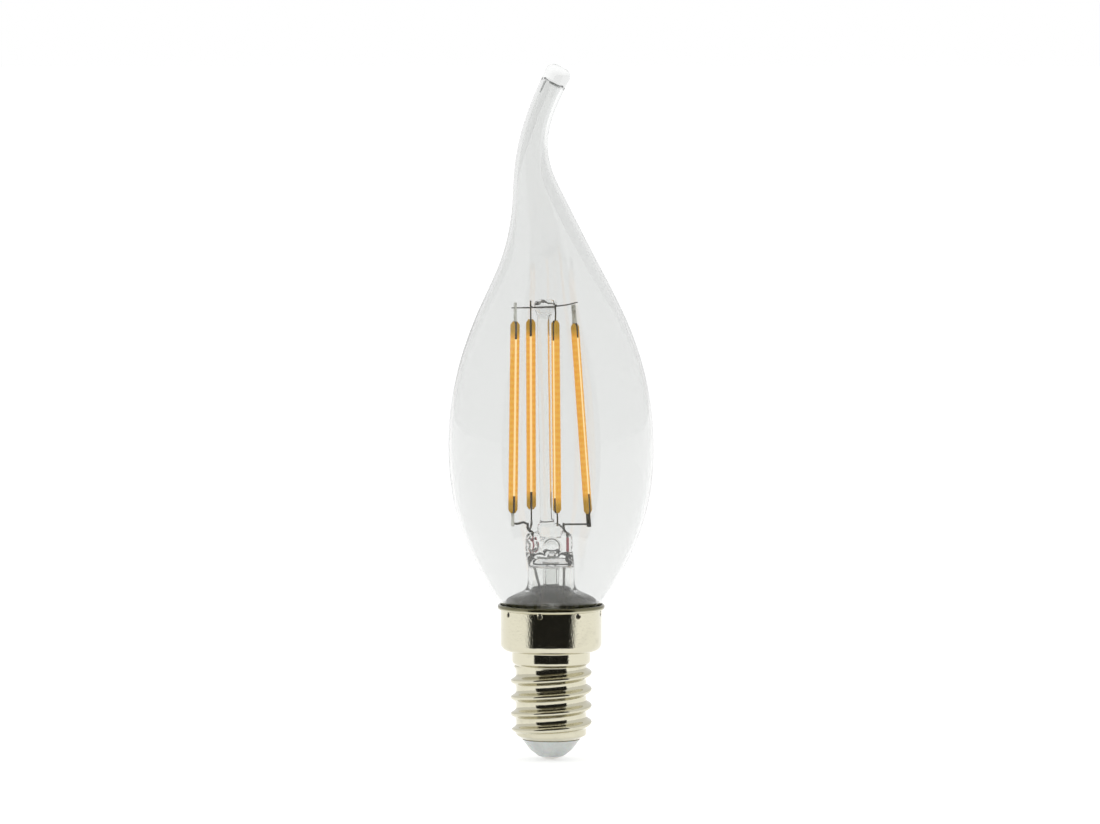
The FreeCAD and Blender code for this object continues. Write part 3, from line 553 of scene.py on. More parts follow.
def spline(places: Outline) -> Callable[[float], tuple[float, float, float]]:
    """A smooth curve through (across, up) places, read by height.

    Args:
        places: The places, from the lowest up.

    Returns:
        A function that gives across and its tangent (across, up) at a height.
    """
    knots = [0.0]
    for (a, b), (c, d) in zip(places, places[1:]):
        knots.append(knots[-1] + math.hypot(c - a, d - b))

    def bends(values: Sequence[float]) -> list[float]:
        """Second derivatives of the natural cubic through the values."""
        count = len(values)
        upper, right, result = [0.0] * count, [0.0] * count, [0.0] * count
        for i in range(1, count - 1):
            before, after = knots[i] - knots[i - 1], knots[i + 1] - knots[i]
            pivot = 2.0 * (before + after) - before * upper[i - 1]
            upper[i] = after / pivot
            slope = (values[i + 1] - values[i]) / after - (values[i] - values[i - 1]) / before
            right[i] = (6.0 * slope - before * right[i - 1]) / pivot
        for i in range(count - 2, 0, -1):
            result[i] = right[i] - upper[i] * result[i + 1]
        return result

    across, up = zip(*places)
    across_bends, up_bends = bends(across), bends(up)

    def read(values: Sequence[float], second: Sequence[float], at: float) -> tuple[float, float]:
        """The cubic's value and slope at a parameter."""
        i = max(k for k in range(len(knots) - 1) if knots[k] <= at or k == 0)
        gap = knots[i + 1] - knots[i]
        a, b = (knots[i + 1] - at) / gap, (at - knots[i]) / gap
        curve = (a ** 3 - a) * second[i] + (b ** 3 - b) * second[i + 1]
        lean = (3.0 * b * b - 1.0) * second[i + 1] - (3.0 * a * a - 1.0) * second[i]
        value = a * values[i] + b * values[i + 1] + curve * gap * gap / 6.0
        return value, (values[i + 1] - values[i]) / gap + lean * gap / 6.0

    def at_height(height: float) -> tuple[float, float, float]:
        """Across and the unit tangent where the curve passes a height."""
        low, high = 0.0, knots[-1]
        for _ in range(40):
            middle = (low + high) / 2.0
            if read(up, up_bends, middle)[0] < height:
                low = middle
            else:
                high = middle
        place, lean = read(across, across_bends, low)
        rise = read(up, up_bends, low)[1]
        length = math.hypot(lean, rise)
        return place, lean / length, rise / length

    return at_height


def turns(count: int) -> list[float]:
    """Even angles round a circle."""
    return [math.tau * k / count for k in range(count)]


@dataclass
class Skin:
    """A mesh that grows ring by ring. Its round rings have a number of sides."""

    sides: int = 64

    def __post_init__(self) -> None:
        """Start with no rings."""
        self.mesh = bmesh.new()
        self.rings: list[Ring] = []

    def ring(self, points: Iterable[Vector]) -> None:
        """Add a ring and join it to the last one.

        Args:
            points: One point for each side, in metres.
        """
        made = [self.mesh.verts.new(point) for point in points]
        if self.rings:
            self.join(self.rings[-1], made)
        self.rings.append(made)

    def join(self, first: Ring, second: Ring) -> None:
        """Join two rings by a band of faces."""
        for i in range(len(first)):
            j = (i + 1) % len(first)
            self.mesh.faces.new((first[i], first[j], second[j], second[i]))

    def circle(self, centre: Vector, radius: float, turn: Matrix | None = None) -> None:
        """Add a round ring.

        Args:
            centre: Its middle.
            radius: Its radius.
            turn: The rotation of its plane, level if none.
        """
        spokes = [Vector((math.cos(angle) * radius, math.sin(angle) * radius, 0.0))
                  for angle in turns(self.sides)]
        self.ring([centre + (turn @ spoke if turn else spoke) for spoke in spokes])

    def along(self, path: Sequence[Vector], radii: Sequence[float], loop: bool = False) -> None:
        """Add a round ring at each place of a path, square to it.

        Args:
            path: The places, in metres.
            radii: The radius at each place.
            loop: True for a path that closes on itself.
        """
        count = len(path)
        side = Vector((0.0, 1.0, 0.0))
        for i, here in enumerate(path):
            after = path[(i + 1) % count] if loop else path[min(i + 1, count - 1)]
            before = path[i - 1] if loop else path[max(i - 1, 0)]
            way = (after - before).normalized()
            side = (side - way * side.dot(way)).normalized()
            other = way.cross(side)
            self.ring([here + (side * math.cos(a) + other * math.sin(a)) * radii[i]
                       for a in turns(self.sides)])

    def close(self, loop: bool = False) -> None:
        """Close the form with a face at each end, or a loop by joining its ends."""
        if loop:
            self.join(self.rings[-1], self.rings[0])
        else:
            self.mesh.faces.new(reversed(self.rings[0]))
            self.mesh.faces.new(self.rings[-1])
        self.rings.clear()

    def turned(self, outline: Outline, loop: bool = False) -> None:
        """Add a turned form.

        Args:
            outline: Its (radius, height), in millimetres.
            loop: True for an outline that closes on itself.
        """
        for across, up in outline:
            self.circle(UP * up * MM, max(across, 0.0005) * MM)
        self.close(loop)

    def piece(self, name: str, finish: Finish, sharp: float = 50.0) -> Piece:
        """Turn the form into an object.

        Args:
            name: The object's name.
            finish: Its finish.
            sharp: Edges that turn by more than this many degrees stay crisp.

        Returns:
            The object.
        """
        bmesh.ops.recalc_face_normals(self.mesh, faces=self.mesh.faces)
        for face in self.mesh.faces:
            face.smooth = True
        for edge in self.mesh.edges:
            if len(edge.link_faces) == 2 and edge.calc_face_angle() > math.radians(sharp):
                edge.smooth = False
        data = bpy.data.meshes.new(name)
        self.mesh.to_mesh(data)
        self.mesh.free()
        data.materials.append(finish.material())
        return linked(name, data)


def linked(name: str, data: bpy.types.ID) -> Piece:
    """A new object in the scene for a mesh, a camera or a light."""
    made = bpy.data.objects.new(name, data)
    bpy.context.scene.collection.objects.link(made)
    return made


def stand_for(piece: Piece, slot: str, *nodes: str) -> None:
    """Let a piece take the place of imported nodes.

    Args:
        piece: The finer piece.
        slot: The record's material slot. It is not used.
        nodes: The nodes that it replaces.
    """
    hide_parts(*nodes)
    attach(piece, ROOT)
    LOG.info("%s: %d faces for %s", piece.name, len(piece.data.polygons), ", ".join(nodes))


def dress(node: str, finish: Finish) -> None:
    """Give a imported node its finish."""
    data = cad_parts[node].data
    data.materials.clear()
    data.materials.append(finish.material())
    for face in data.polygons:
        face.material_index = 0
    LOG.info("%s: %s", node, finish.name)


def softened(corners: Sequence[Sequence[float]], radius: float, loop: bool = False,
             steps: int = 5) -> list[tuple[float, ...]]:
    """An outline or a route with each corner replaced by a short curve.

    Args:
        corners: Its corners.
        radius: How far from a corner its curve starts, at most.
        loop: True for one that closes on itself.
        steps: How many runs a curve has.

    Returns:
        The new outline or route.
    """
    result = []
    count = len(corners)
    for i, corner in enumerate(corners):
        here = Vector(corner)
        if not loop and i in (0, count - 1):
            result.append(tuple(here))
            continue
        before, after = Vector(corners[i - 1]) - here, Vector(corners[(i + 1) % count]) - here
        start = here + before.normalized() * min(radius, before.length * 0.45)
        end = here + after.normalized() * min(radius, after.length * 0.45)
        for step in range(steps + 1):
            t = step / steps
            result.append(tuple(start * (1 - t) ** 2 + here * (2 * t * (1 - t)) + end * t * t))
    return result


def tube_along(name: str, finish: Finish, route: Sequence[Place], width_mm: float) -> Piece:
    """A round wire whose corners are bent, not mitred.

    Args:
        name: The wire's name.
        finish: Its finish.
        route: Its corners, in millimetres.
        width_mm: Its diameter.

    Returns:
        The wire.
    """
    path = [Vector(place) * MM for place in softened(route, WIRE_BEND_MM, steps=6)]
    radii = [width_mm * MM / 2] * len(path)
    radii[0] *= WIRE_END_SHARE
    radii[-1] *= WIRE_END_SHARE
    skin = Skin(14)
    skin.along(path, radii)
    skin.close()
    return skin.piece(name, finish)


# Sub-assemblies


@dataclass
class Envelope:
    """The blown glass, from its seal in the cap to its bent and sealed tip. Millimetres."""

    wall: float = 0.6
    seal_z: float = 23.6
    height: float = 118.4
    crown_drop: float = 0.515
    tip_x: float = 1.75
    tip_dia: float = 4.5
    tip_round: float = 1.5
    tip_plug: float = 2.35
    inner_round: float = 0.9
    seam_mm: float = 2.8
    meniscus_mm: float = 0.5
    meniscus_share: float = 0.45
    seam_share: float = 0.82
    seam_drop: float = 0.2
    sides: int = 128
    rows: int = 210
    outline: Outline = (
        (15.2, 23.6), (15.6, 25.2), (17.9, 26.9), (23.6, 31.4), (30.2, 38.5), (35.0, 53.0),
        (31.9, 66.0), (24.7, 76.2), (15.4, 86.0), (9.7, 93.8), (6.1, 101.0), (4.65, 106.5))
    centres: Outline = (
        (0.0, 23.6), (0.0, 31.4), (0.0, 53.0), (-0.3, 76.2), (-0.85, 86.0), (-2.0, 93.8),
        (-3.15, 101.0), (-2.75, 106.5), (-0.95, 112.2))

    def __post_init__(self) -> None:
        """Fit the curves of the outline and of the bent centreline."""
        self.crown = self.height - self.crown_drop
        radii = [(dia / 2, up) for dia, up in self.outline]
        self.radius_at = spline([*radii, (self.tip_dia / 2, self.crown)])
        self.centre_at = spline([*self.centres, (self.tip_x, self.crown)])

    def frame_at(self, up: float) -> tuple[Vector, Matrix, Vector]:
        """Centre, ring rotation and tangent at a height."""
        across, lean, rise = self.centre_at(up)
        along = Vector((lean, 0.0, rise))
        turn = UP.rotation_difference(along).to_matrix()
        return Vector((across, 0.0, up)) * MM, turn, along

    def end(self, skin: Skin, top: float, radius: float, round_mm: float,
            steps: Iterable[int]) -> None:
        """The rounded end of the tip, inside or outside.

        Args:
            skin: The form that grows.
            top: The end's height.
            radius: The radius that the rounding starts from.
            round_mm: The radius of the rounding.
            steps: The order of its rings: 0 at its rim and 10 at its top.
        """
        centre, turn, along = self.frame_at(top)
        for step in steps:
            angle = math.pi / 2 * step / 10
            back = round_mm * (1 - math.sin(angle))
            skin.circle(centre - along * back * MM,
                        (radius - round_mm + round_mm * math.cos(angle)) * MM, turn)

    def side(self, skin: Skin, top: float, inset: float, rows: Iterable[int]) -> None:
        """The rings of the wall, from the seal to a height or back."""
        for row in rows:
            up = self.seal_z + (top - self.seal_z) * row / self.rows
            centre, turn, _ = self.frame_at(up)
            skin.circle(centre, (self.radius_at(up)[0] - inset) * MM, turn)

    def build(self) -> None:
        """Make the glass and let it take the place of its node."""
        skin = Skin(self.sides)
        stop = self.crown - self.tip_round * self.centre_at(self.crown)[2]
        self.side(skin, stop, 0.0, range(self.rows))
        self.end(skin, self.crown, self.tip_dia / 2, self.tip_round, range(11))
        skin.mesh.faces.new(skin.rings[-1])
        outer_foot = skin.rings[0]
        skin.rings.clear()
        top = self.crown - self.tip_plug
        radius = self.radius_at(top)[0] - self.wall
        self.end(skin, top, radius, self.inner_round, range(10, -1, -1))
        skin.mesh.faces.new(reversed(skin.rings[0]))
        stop = top - self.inner_round * self.centre_at(top)[2]
        self.side(skin, stop, self.wall, range(self.rows - 1, -1, -1))
        skin.join(skin.rings[-1], outer_foot)
        piece = skin.piece("blown_glass", GLASS, 80.0)
        self.shade_tip(piece, top, radius)
        stand_for(piece, "clear_glass", "glass_envelope")

    def shade_tip(self, piece: Piece, top: float, radius: float) -> None:
        """Put painted shade on the meniscus and on the seam of the hollow's closed end.

        Args:
            piece: The glass.
            top: The height of the end.
            radius: The hollow's radius there.
        """
        piece.data.materials.append(SEAL_SHADE.material())
        centre, turn, _ = self.frame_at(top)
        for face in piece.data.polygons:
            place = turn.transposed() @ (Vector(face.center) - centre) / MM
            inside = math.hypot(place.x, place.y) <= radius + 0.12
            meniscus = place.z > -self.meniscus_mm and place.x > -self.meniscus_share * radius
            seam = place.x < -self.seam_share * radius and place.z < -self.seam_drop
            if inside and -self.seam_mm < place.z < 0.05 and (meniscus or seam):
                face.material_index = 1


@dataclass
class Stem:
    """The flared stem with its press, exhaust tube, rod and button, fused as glass is.

    All in millimetres. The flare is (radius, height), the press (height, width, depth, middle) and
    the rod (height, width, middle).
    """

    flare: Outline = (
        (6.04, 22.8), (7.6, 22.8), (7.6, 23.55), (6.74, 23.55), (6.74, 25.2), (7.85, 26.6),
        (7.7, 27.4), (5.9, 28.3), (4.4, 29.0), (4.0, 30.0), (3.95, 33.9), (3.25, 33.9), (3.3, 29.7),
        (3.75, 28.35), (5.6, 27.45), (7.05, 26.6), (6.04, 25.2))
    press: tuple[tuple[float, float, float, float], ...] = (
        (33.2, 7.9, 7.9, 0.0), (33.9, 8.0, 6.6, -0.1), (34.6, 8.1, 4.6, -0.25),
        (35.35, 8.1, 3.4, -0.35), (37.6, 8.1, 3.4, -0.35), (38.4, 7.7, 3.0, -0.35),
        (38.8, 6.6, 2.3, -0.35))
    rod: tuple[Place, ...] = (
        (37.6, 4.7, -0.2), (38.3, 4.5, -0.15), (39.6, 4.4, -0.2), (40.0, 4.0, -0.3),
        (40.25, 2.9, -0.6), (40.6, 2.45, -0.7), (42.0, 2.4, -0.73), (75.2, 2.4, -1.24),
        (75.9, 2.6, -1.2), (76.3, 3.3, -1.05), (76.7, 3.8, -0.97), (77.2, 3.9, -0.95),
        (77.7, 3.8, -0.95), (78.1, 3.2, -0.95), (78.3, 2.2, -0.95))
    exhaust: Outline = ((0.0, 20.4), (0.5, 20.4), (1.4, 23.2), (1.4, 33.1), (0.9, 33.1), (0.9, 23.2),
                        (0.0, 21.9))
    voxel_mm: float = 0.17
    fold_radius: float = 0.27
    ring_thick: float = 0.33
    ring_y: float = -1.85
    ring_squash: float = 0.965
    shade_y: float = -1.2
    hole_x: float = 0.1
    hole_z: float = 36.4
    hole_dia: float = 2.3
    ring_radius: float = 1.4
    shade_reach: float = 0.15
    folds: tuple[tuple[Place, ...], ...] = (
        ((-2.5, -1.75, 34.75), (-1.0, -1.95, 34.55), (0.9, -1.95, 34.65), (1.4, -1.7, 35.0)),
        ((-1.5, -2.6, 33.9), (0.0, -2.9, 33.75), (1.3, -2.6, 33.85)),
        ((-2.9, -1.7, 35.6), (-2.2, -1.85, 36.4), (-2.5, -1.75, 37.4)),
        ((-4.05, -1.2, 37.5), (-3.6, -1.5, 36.9), (-3.75, -1.4, 36.1), (-3.3, -1.7, 35.5)),
        ((-3.7, -1.4, 38.1), (-3.3, -1.5, 37.6), (-2.6, -1.7, 37.9)),
        ((-1.0, -1.6, 36.9), (-0.4, -1.7, 37.75), (0.6, -1.7, 37.8), (1.3, -1.6, 37.0)))

    def form(self) -> Piece:
        """The separate glass forms, before they are fused."""
        skin = Skin()
        skin.turned(softened(self.flare, 0.5, True, 3), True)
        for up, wide, deep, across in self.press:
            skin.ring([self.oval(wide / 2, deep / 2, across, up, angle) for angle in turns(64)])
        skin.close()
        for up, wide, across in self.rod:
            skin.circle(Vector((across, 0.0, up)) * MM, wide / 2 * MM)
        skin.close()
        for fold in self.folds:
            skin.along([Vector(place) * MM for place in fold], [self.fold_radius * MM] * len(fold))
            skin.close()
        rim = [Vector((self.hole_x + math.cos(angle) * self.ring_radius, self.ring_y,
                       self.hole_z + math.sin(angle) * self.ring_radius * self.ring_squash)) * MM
               for angle in turns(32)]
        skin.along(rim, [self.ring_thick * MM] * len(rim), True)
        skin.close(True)
        return skin.piece("pressed_glass", STEM_GLASS)

    def shaded(self, place: Vector) -> bool:
        """Whether a point of the press takes painted shade, on a fold or on the blow hole's ring.

        Args:
            place: The point, in millimetres.

        Returns:
            True where it takes painted shade.
        """
        if place.y > self.shade_y or not self.press[0][0] < place.z < self.press[-2][0]:
            return False
        across, up = place.x - self.hole_x, place.z - self.hole_z
        if abs(math.hypot(across, up) - self.ring_radius) < self.shade_reach and across + up > -0.6:
            return True
        flat = Vector((place.x, 0.0, place.z))
        for fold in self.folds:
            for low, high in zip(fold, fold[1:]):
                start, stop = Vector((low[0], 0.0, low[2])), Vector((high[0], 0.0, high[2]))
                near, share = intersect_point_line(flat, start, stop)
                if 0.0 <= share <= 1.0 and (near - flat).length < self.shade_reach:
                    return True
        return False

    @staticmethod
    def oval(wide: float, deep: float, across: float, up: float, angle: float) -> Vector:
        """A point of a flattened round, with squarer ends than an ellipse has.

        Args:
            wide: Half of its width.
            deep: Half of its depth.
            across: Its middle along X.
            up: Its height.
            angle: How far round the point is.

        Returns:
            The point, in metres.
        """
        power = 2.0 / (2.0 + min((wide - deep) / wide, 1.0))
        x = math.copysign(abs(math.cos(angle)) ** power, math.cos(angle)) * wide
        y = math.copysign(abs(math.sin(angle)) ** power, math.sin(angle)) * deep
        return Vector((x + across, y, up)) * MM

    def build(self) -> None:
        """Fuse the forms, open the blow hole and take the place of the nodes."""
        glass = self.form()
        fuse = glass.modifiers.new("fuse", "REMESH")
        fuse.mode = "VOXEL"
        fuse.voxel_size = self.voxel_mm * MM
        fuse.use_smooth_shade = True
        drill = Skin(40)
        turn = Matrix.Rotation(math.pi / 2, 3, "X")
        for deep, widen in ((-2.6, 0.9), (-1.7, 0.35), (-1.2, 0.0), (0.0, -0.1), (0.4, -0.5)):
            centre = Vector((self.hole_x, deep, self.hole_z)) * MM
            drill.circle(centre, (self.hole_dia / 2 + widen) * MM, turn)
        drill.close()
        cutter = drill.piece("blow_hole_cutter", STEM_GLASS)
        opened = glass.modifiers.new("opened", "BOOLEAN")
        opened.operation = "DIFFERENCE"
        opened.object = cutter
        polish = glass.modifiers.new("polish", "SMOOTH")
        polish.factor = 0.5
        polish.iterations = 4
        seen = bpy.context.evaluated_depsgraph_get()
        seen.update()
        fused = bpy.data.meshes.new_from_object(glass.evaluated_get(seen))
        glass.modifiers.clear()
        glass.data = fused
        bpy.data.objects.remove(cutter)
        fused.materials.clear()
        fused.materials.append(STEM_GLASS.material())
        fused.materials.append(FOLD_SHADE.material())
        # Faces on the folds and on the blow hole's ring take the painted shade.
        for face in fused.polygons:
            face.use_smooth = True
            face.material_index = int(self.shaded(Vector(face.center) / MM))
        stand_for(glass, "stem_glass", "glass_stem", "support_rod")
        skin = Skin(48)
        skin.turned(softened(self.exhaust, 0.3))
        stand_for(skin.piece("exhaust_glass", STEM_GLASS), "stem_glass", "exhaust_tube")


@dataclass
class Filament:
    """One filament: a strip between two beads of coating, with a tab at each end. Millimetres."""

    name: str
    foot: Place
    top: tuple[float, float]
    turn: float
    length: float = 32.5
    width: float = 1.0
    thick: float = 0.4
    coat_height: float = 0.62
    coat_share: float = 0.985
    coat_round: float = 0.7
    coat_end: float = 0.35
    tab_width: float = 0.0
    tab_thick: float = 0.25
    top_tab: float = 2.6
    foot_tab: float = 2.2
    top_finish: Finish = TAB_STEEL
    foot_finish: Finish = TAB_STEEL

    def frame(self) -> Matrix:
        """The filament's own frame, with Z from its foot to its top."""
        foot = Vector(self.foot)
        along = Vector((*self.top, self.foot[2] + self.length)) - foot
        lean = UP.rotation_difference(along)
        spin = Matrix.Rotation(math.radians(90.0 + self.turn), 4, "Z")
        return Matrix.Translation(foot * MM) @ lean.to_matrix().to_4x4() @ spin

    def ring(self, skin: Skin, points: Iterable[tuple[float, float]], up: float) -> None:
        """Add a ring, given in the filament's own frame."""
        place = self.frame()
        skin.ring([place @ (Vector((x, y, up)) * MM) for x, y in points])

    def coat(self, side: int, label: str) -> None:
        """The bead of coating on one face of the strip.

        Args:
            side: 1 for the outer face and -1 for the inner.
            label: The last part of its node's name.
        """
        skin = Skin()
        rows = 60
        for row in range(rows + 1):
            up = self.length * row / rows
            end = max(min(up, self.length - up), 0.0)
            swell = math.sin(min(end / self.coat_round, 1.0) * math.pi / 2) ** 0.5
            swell = max(swell, self.coat_end) * (1.0 + 0.012 * math.sin(row * 2.1 + self.turn))
            half = self.width / 2 * self.coat_share * min(swell + 0.1, 1.0)
            high = self.coat_height * min(swell, 1.0)
            wobble = 0.01 * math.sin(row * 0.7 + self.turn)
            around = []
            for angle in (math.pi * k / 13 for k in range(14)):
                rise = max(math.sin(angle), 0.0)
                around.append((math.cos(angle) * half + wobble * math.sin(angle),
                               rise ** 0.8 * high))
            around += [(half * (k / 3.5 - 1.0), 0.0) for k in range(1, 7)]
            self.ring(skin, [(x, (self.thick / 2 + y) * side) for x, y in around], up)
        skin.close()
        piece = skin.piece(f"{self.name}_{label}_bead", AMBER, 60.0)
        stand_for(piece, "filament_coat", f"{self.name}_filament_{label}")

    def strip(self) -> None:
        """The pale strip, with softened edges and a notch at each end."""
        skin = Skin()
        rows = 40
        for row in range(rows + 1):
            trim = 0.06 if row in (0, rows) else 0.0
            wide, deep = self.width / 2 - trim, self.thick / 2 - trim * 0.5
            corners = [(wide, -deep), (wide, deep), (-wide, deep), (-wide, -deep)]
            self.ring(skin, softened(corners, 0.08, True, 3), self.length * row / rows)
        skin.close()
        piece = skin.piece(f"{self.name}_strip", PALE_STRIP, 60.0)
        stand_for(piece, "filament_strip", f"{self.name}_filament_strip")

    def build(self) -> None:
        """Make the filament's pieces."""
        self.coat(1, "outer_coat")
        self.coat(-1, "inner_coat")
        self.strip()
        if self.tab_width:
            self.tab("top_tab", self.length, self.length + self.top_tab)
            self.tab("foot_tab", -self.foot_tab, 0.0)
            return
        dress(f"{self.name}_filament_top_tab", self.top_finish)
        dress(f"{self.name}_filament_foot_tab", self.foot_finish)

    def tab(self, label: str, low: float, high: float) -> None:
        """A narrow tab, a little bent.

        Args:
            label: The last part of its node's name.
            low: Where it starts, up the filament.
            high: Where it ends.
        """
        skin = Skin()
        for share in (row / 8 for row in range(9)):
            bow = 0.07 * math.sin(math.pi * share)
            self.ring(skin, [(self.tab_width / 2 * math.cos(angle) + bow,
                              self.tab_thick / 2 * math.sin(angle)) for angle in turns(12)],
                      low + (high - low) * share)
        skin.close()
        stand_for(skin.piece(f"{self.name}_{label}_bent", TAB_STEEL), "tab_steel",
                  f"{self.name}_filament_{label}")


@dataclass
class Cap:
    """The rolled screw cap: foot, thread, neck, collar with dimples, and bead. Millimetres."""

    wall: float = 0.28
    root: float = 6.0
    crest: float = 6.93
    neck: float = 6.7
    collar: float = 8.63
    bead: float = 9.15
    foot_z: float = 3.3
    foot_radius: float = 4.93
    thread_foot_z: float = 4.05
    thread_top_z: float = 16.35
    pitch: float = 2.822
    start_z: float = 4.105
    fade: float = 1.25
    narrow: float = 3.0
    blunt: float = 1.6
    hollow: float = 0.15
    dimple_z: float = 25.0
    dimple_radius: float = 0.42
    dimple_depth: float = 0.3
    dimple_turn: float = -13.0
    dimples: int = 8
    lip_round: float = 0.12
    foot_rise: float = 0.1
    run_out: float = 0.35
    inside_top_z: float = 26.2
    neck_z: float = 16.75
    step_z: float = 18.45
    shoulder: float = 1.3
    bead_z: float = 25.95
    bead_round: float = 0.33
    bead_rise: float = 0.45
    sides: int = 144
    rows: int = 110

    def angles(self) -> list[float]:
        """The angles of a ring, closer together at the dimples."""
        found = {round(360.0 * k / self.sides, 3) for k in range(self.sides)}
        for k in range(self.dimples):
            middle = self.dimple_turn + 360.0 * k / self.dimples
            found |= {round((middle + step * 0.75) % 360.0, 3) for step in range(-5, 6)}
        kept: list[float] = []
        for angle in sorted(found):
            if not kept or angle - kept[-1] > 0.3:
                kept.append(angle)
        return [math.radians(angle) for angle in kept]

    @staticmethod
    def eased(share: float) -> float:
        """A share that is held from 0 to 1 and starts and ends slowly."""
        held = min(max(share, 0.0), 1.0)
        return held * held * (3 - 2 * held)

    def thread(self, turn: float, up: float) -> float:
        """How far the rolled thread stands out.

        Args:
            turn: The angle about the cap's axis.
            up: The height.

        Returns:
            The rise above the root, in millimetres.
        """
        phase = (up - self.start_z) / self.pitch - (turn - math.pi / 2) / math.tau
        wave = 0.5 + 0.5 * math.cos(math.tau * phase)
        ends = (self.eased((up - self.thread_foot_z) / self.fade)
                * self.eased((self.thread_top_z - up) / self.fade))
        ridge = 1.0 - (1.0 - wave ** self.narrow) ** self.blunt
        rise = ridge * (1.0 - self.hollow) + wave * self.hollow
        return (self.crest - self.root) * rise * ends

    def outside(self) -> list[tuple[float, float]]:
        """The outline of the outside, from the foot's edge to the lip."""
        foot = softened([(self.foot_radius - self.lip_round, self.foot_z),
                         (self.foot_radius, self.foot_z + self.foot_rise),
                         (self.root, self.thread_foot_z),
                         (self.root, self.thread_foot_z + self.run_out)], 0.3)
        start, end = self.thread_foot_z + self.run_out + 0.05, self.thread_top_z - self.run_out
        zone = [(self.root, start + (end - start) * row / self.rows) for row in range(1, self.rows)]
        neck = softened([(self.root, end), (self.neck - 0.1, self.thread_top_z + 0.05),
                         (self.neck, self.neck_z), (self.neck, self.step_z)], 0.5)
        step = softened([(self.neck, self.step_z - 0.4), (self.neck, self.step_z),
                         (self.neck + 0.45, self.step_z)], 0.25)
        shoulder = [(self.collar - self.shoulder * (1 - math.sin(angle)),
                     self.step_z + self.shoulder * (1 - math.cos(angle)))
                    for angle in (math.pi / 2 * k / 12 for k in range(13))]
        wall = [(self.collar, up) for up in (20.4, 21.4, 22.4, 23.4, 24.1)]
        dimpled = [(self.collar, 24.35 + 0.09 * k) for k in range(13)]
        bead = [(self.bead - self.bead_round * (1 - math.sin(angle)),
                 self.bead_z - self.bead_rise * math.cos(angle))
                for angle in (math.pi * k / 14 for k in range(3, 15))]
        return foot + zone + neck[:-1] + step[1:] + shoulder + wall + dimpled + bead

    def build(self) -> None:
        """Make the cap's sheet with its inside, and take the place of its node."""
        angles = self.angles()
        outside = self.outside()
        skin = Skin()
        for inset, rows in ((0.0, outside), (self.wall, outside[-3::-1])):
            for across, up in rows:
                lift = inset if across > self.neck + 0.3 and up < 19.5 else 0.0
                threaded = self.thread_foot_z < up < self.thread_top_z and across < self.crest
                points = []
                for turn in angles:
                    radius = across - self.dent(turn, up, across) - inset
                    if threaded:
                        radius += self.thread(turn, up)
                    points.append(Vector((radius * math.cos(turn), radius * math.sin(turn),
                                          up + lift)) * MM)
                skin.ring(points)
        skin.close(True)
        piece = skin.piece("rolled_cap", CAP_PLATING, 65.0)
        piece.data.materials.append(CAP_INSIDE_SHADE.material())
        piece.data.materials.append(DIMPLE_SHADE.material())
        for face in piece.data.polygons:
            middle = Vector(face.center) / MM
            across = math.hypot(middle.x, middle.y)
            outward = face.normal.x * middle.x + face.normal.y * middle.y
            # Inward faces take the painted shade of the cap's inside.
            if outward < -0.3 * across and middle.z < self.inside_top_z:
                face.material_index = 1
            # The punched dimples take painted shade.
            elif self.dent(math.atan2(middle.y, middle.x), middle.z, across) > self.dimple_depth * 0.3:
                face.material_index = 2
        stand_for(piece, "cap_nickel", "cap_shell")

    def dent(self, turn: float, up: float, across: float) -> float:
        """How deep the nearest punched dimple is at a point of the collar.

        Args:
            turn: The angle about the cap's axis.
            up: The height.
            across: The outline's radius there.

        Returns:
            The depth in millimetres.
        """
        if abs(up - self.dimple_z) > 0.8:
            return 0.0
        step = math.tau / self.dimples
        away = (turn - math.radians(self.dimple_turn) + step / 2) % step - step / 2
        reach = math.hypot(away * across, up - self.dimple_z) / self.dimple_radius
        return self.dimple_depth * max(0.0, 1.0 - reach * reach) ** 0.6


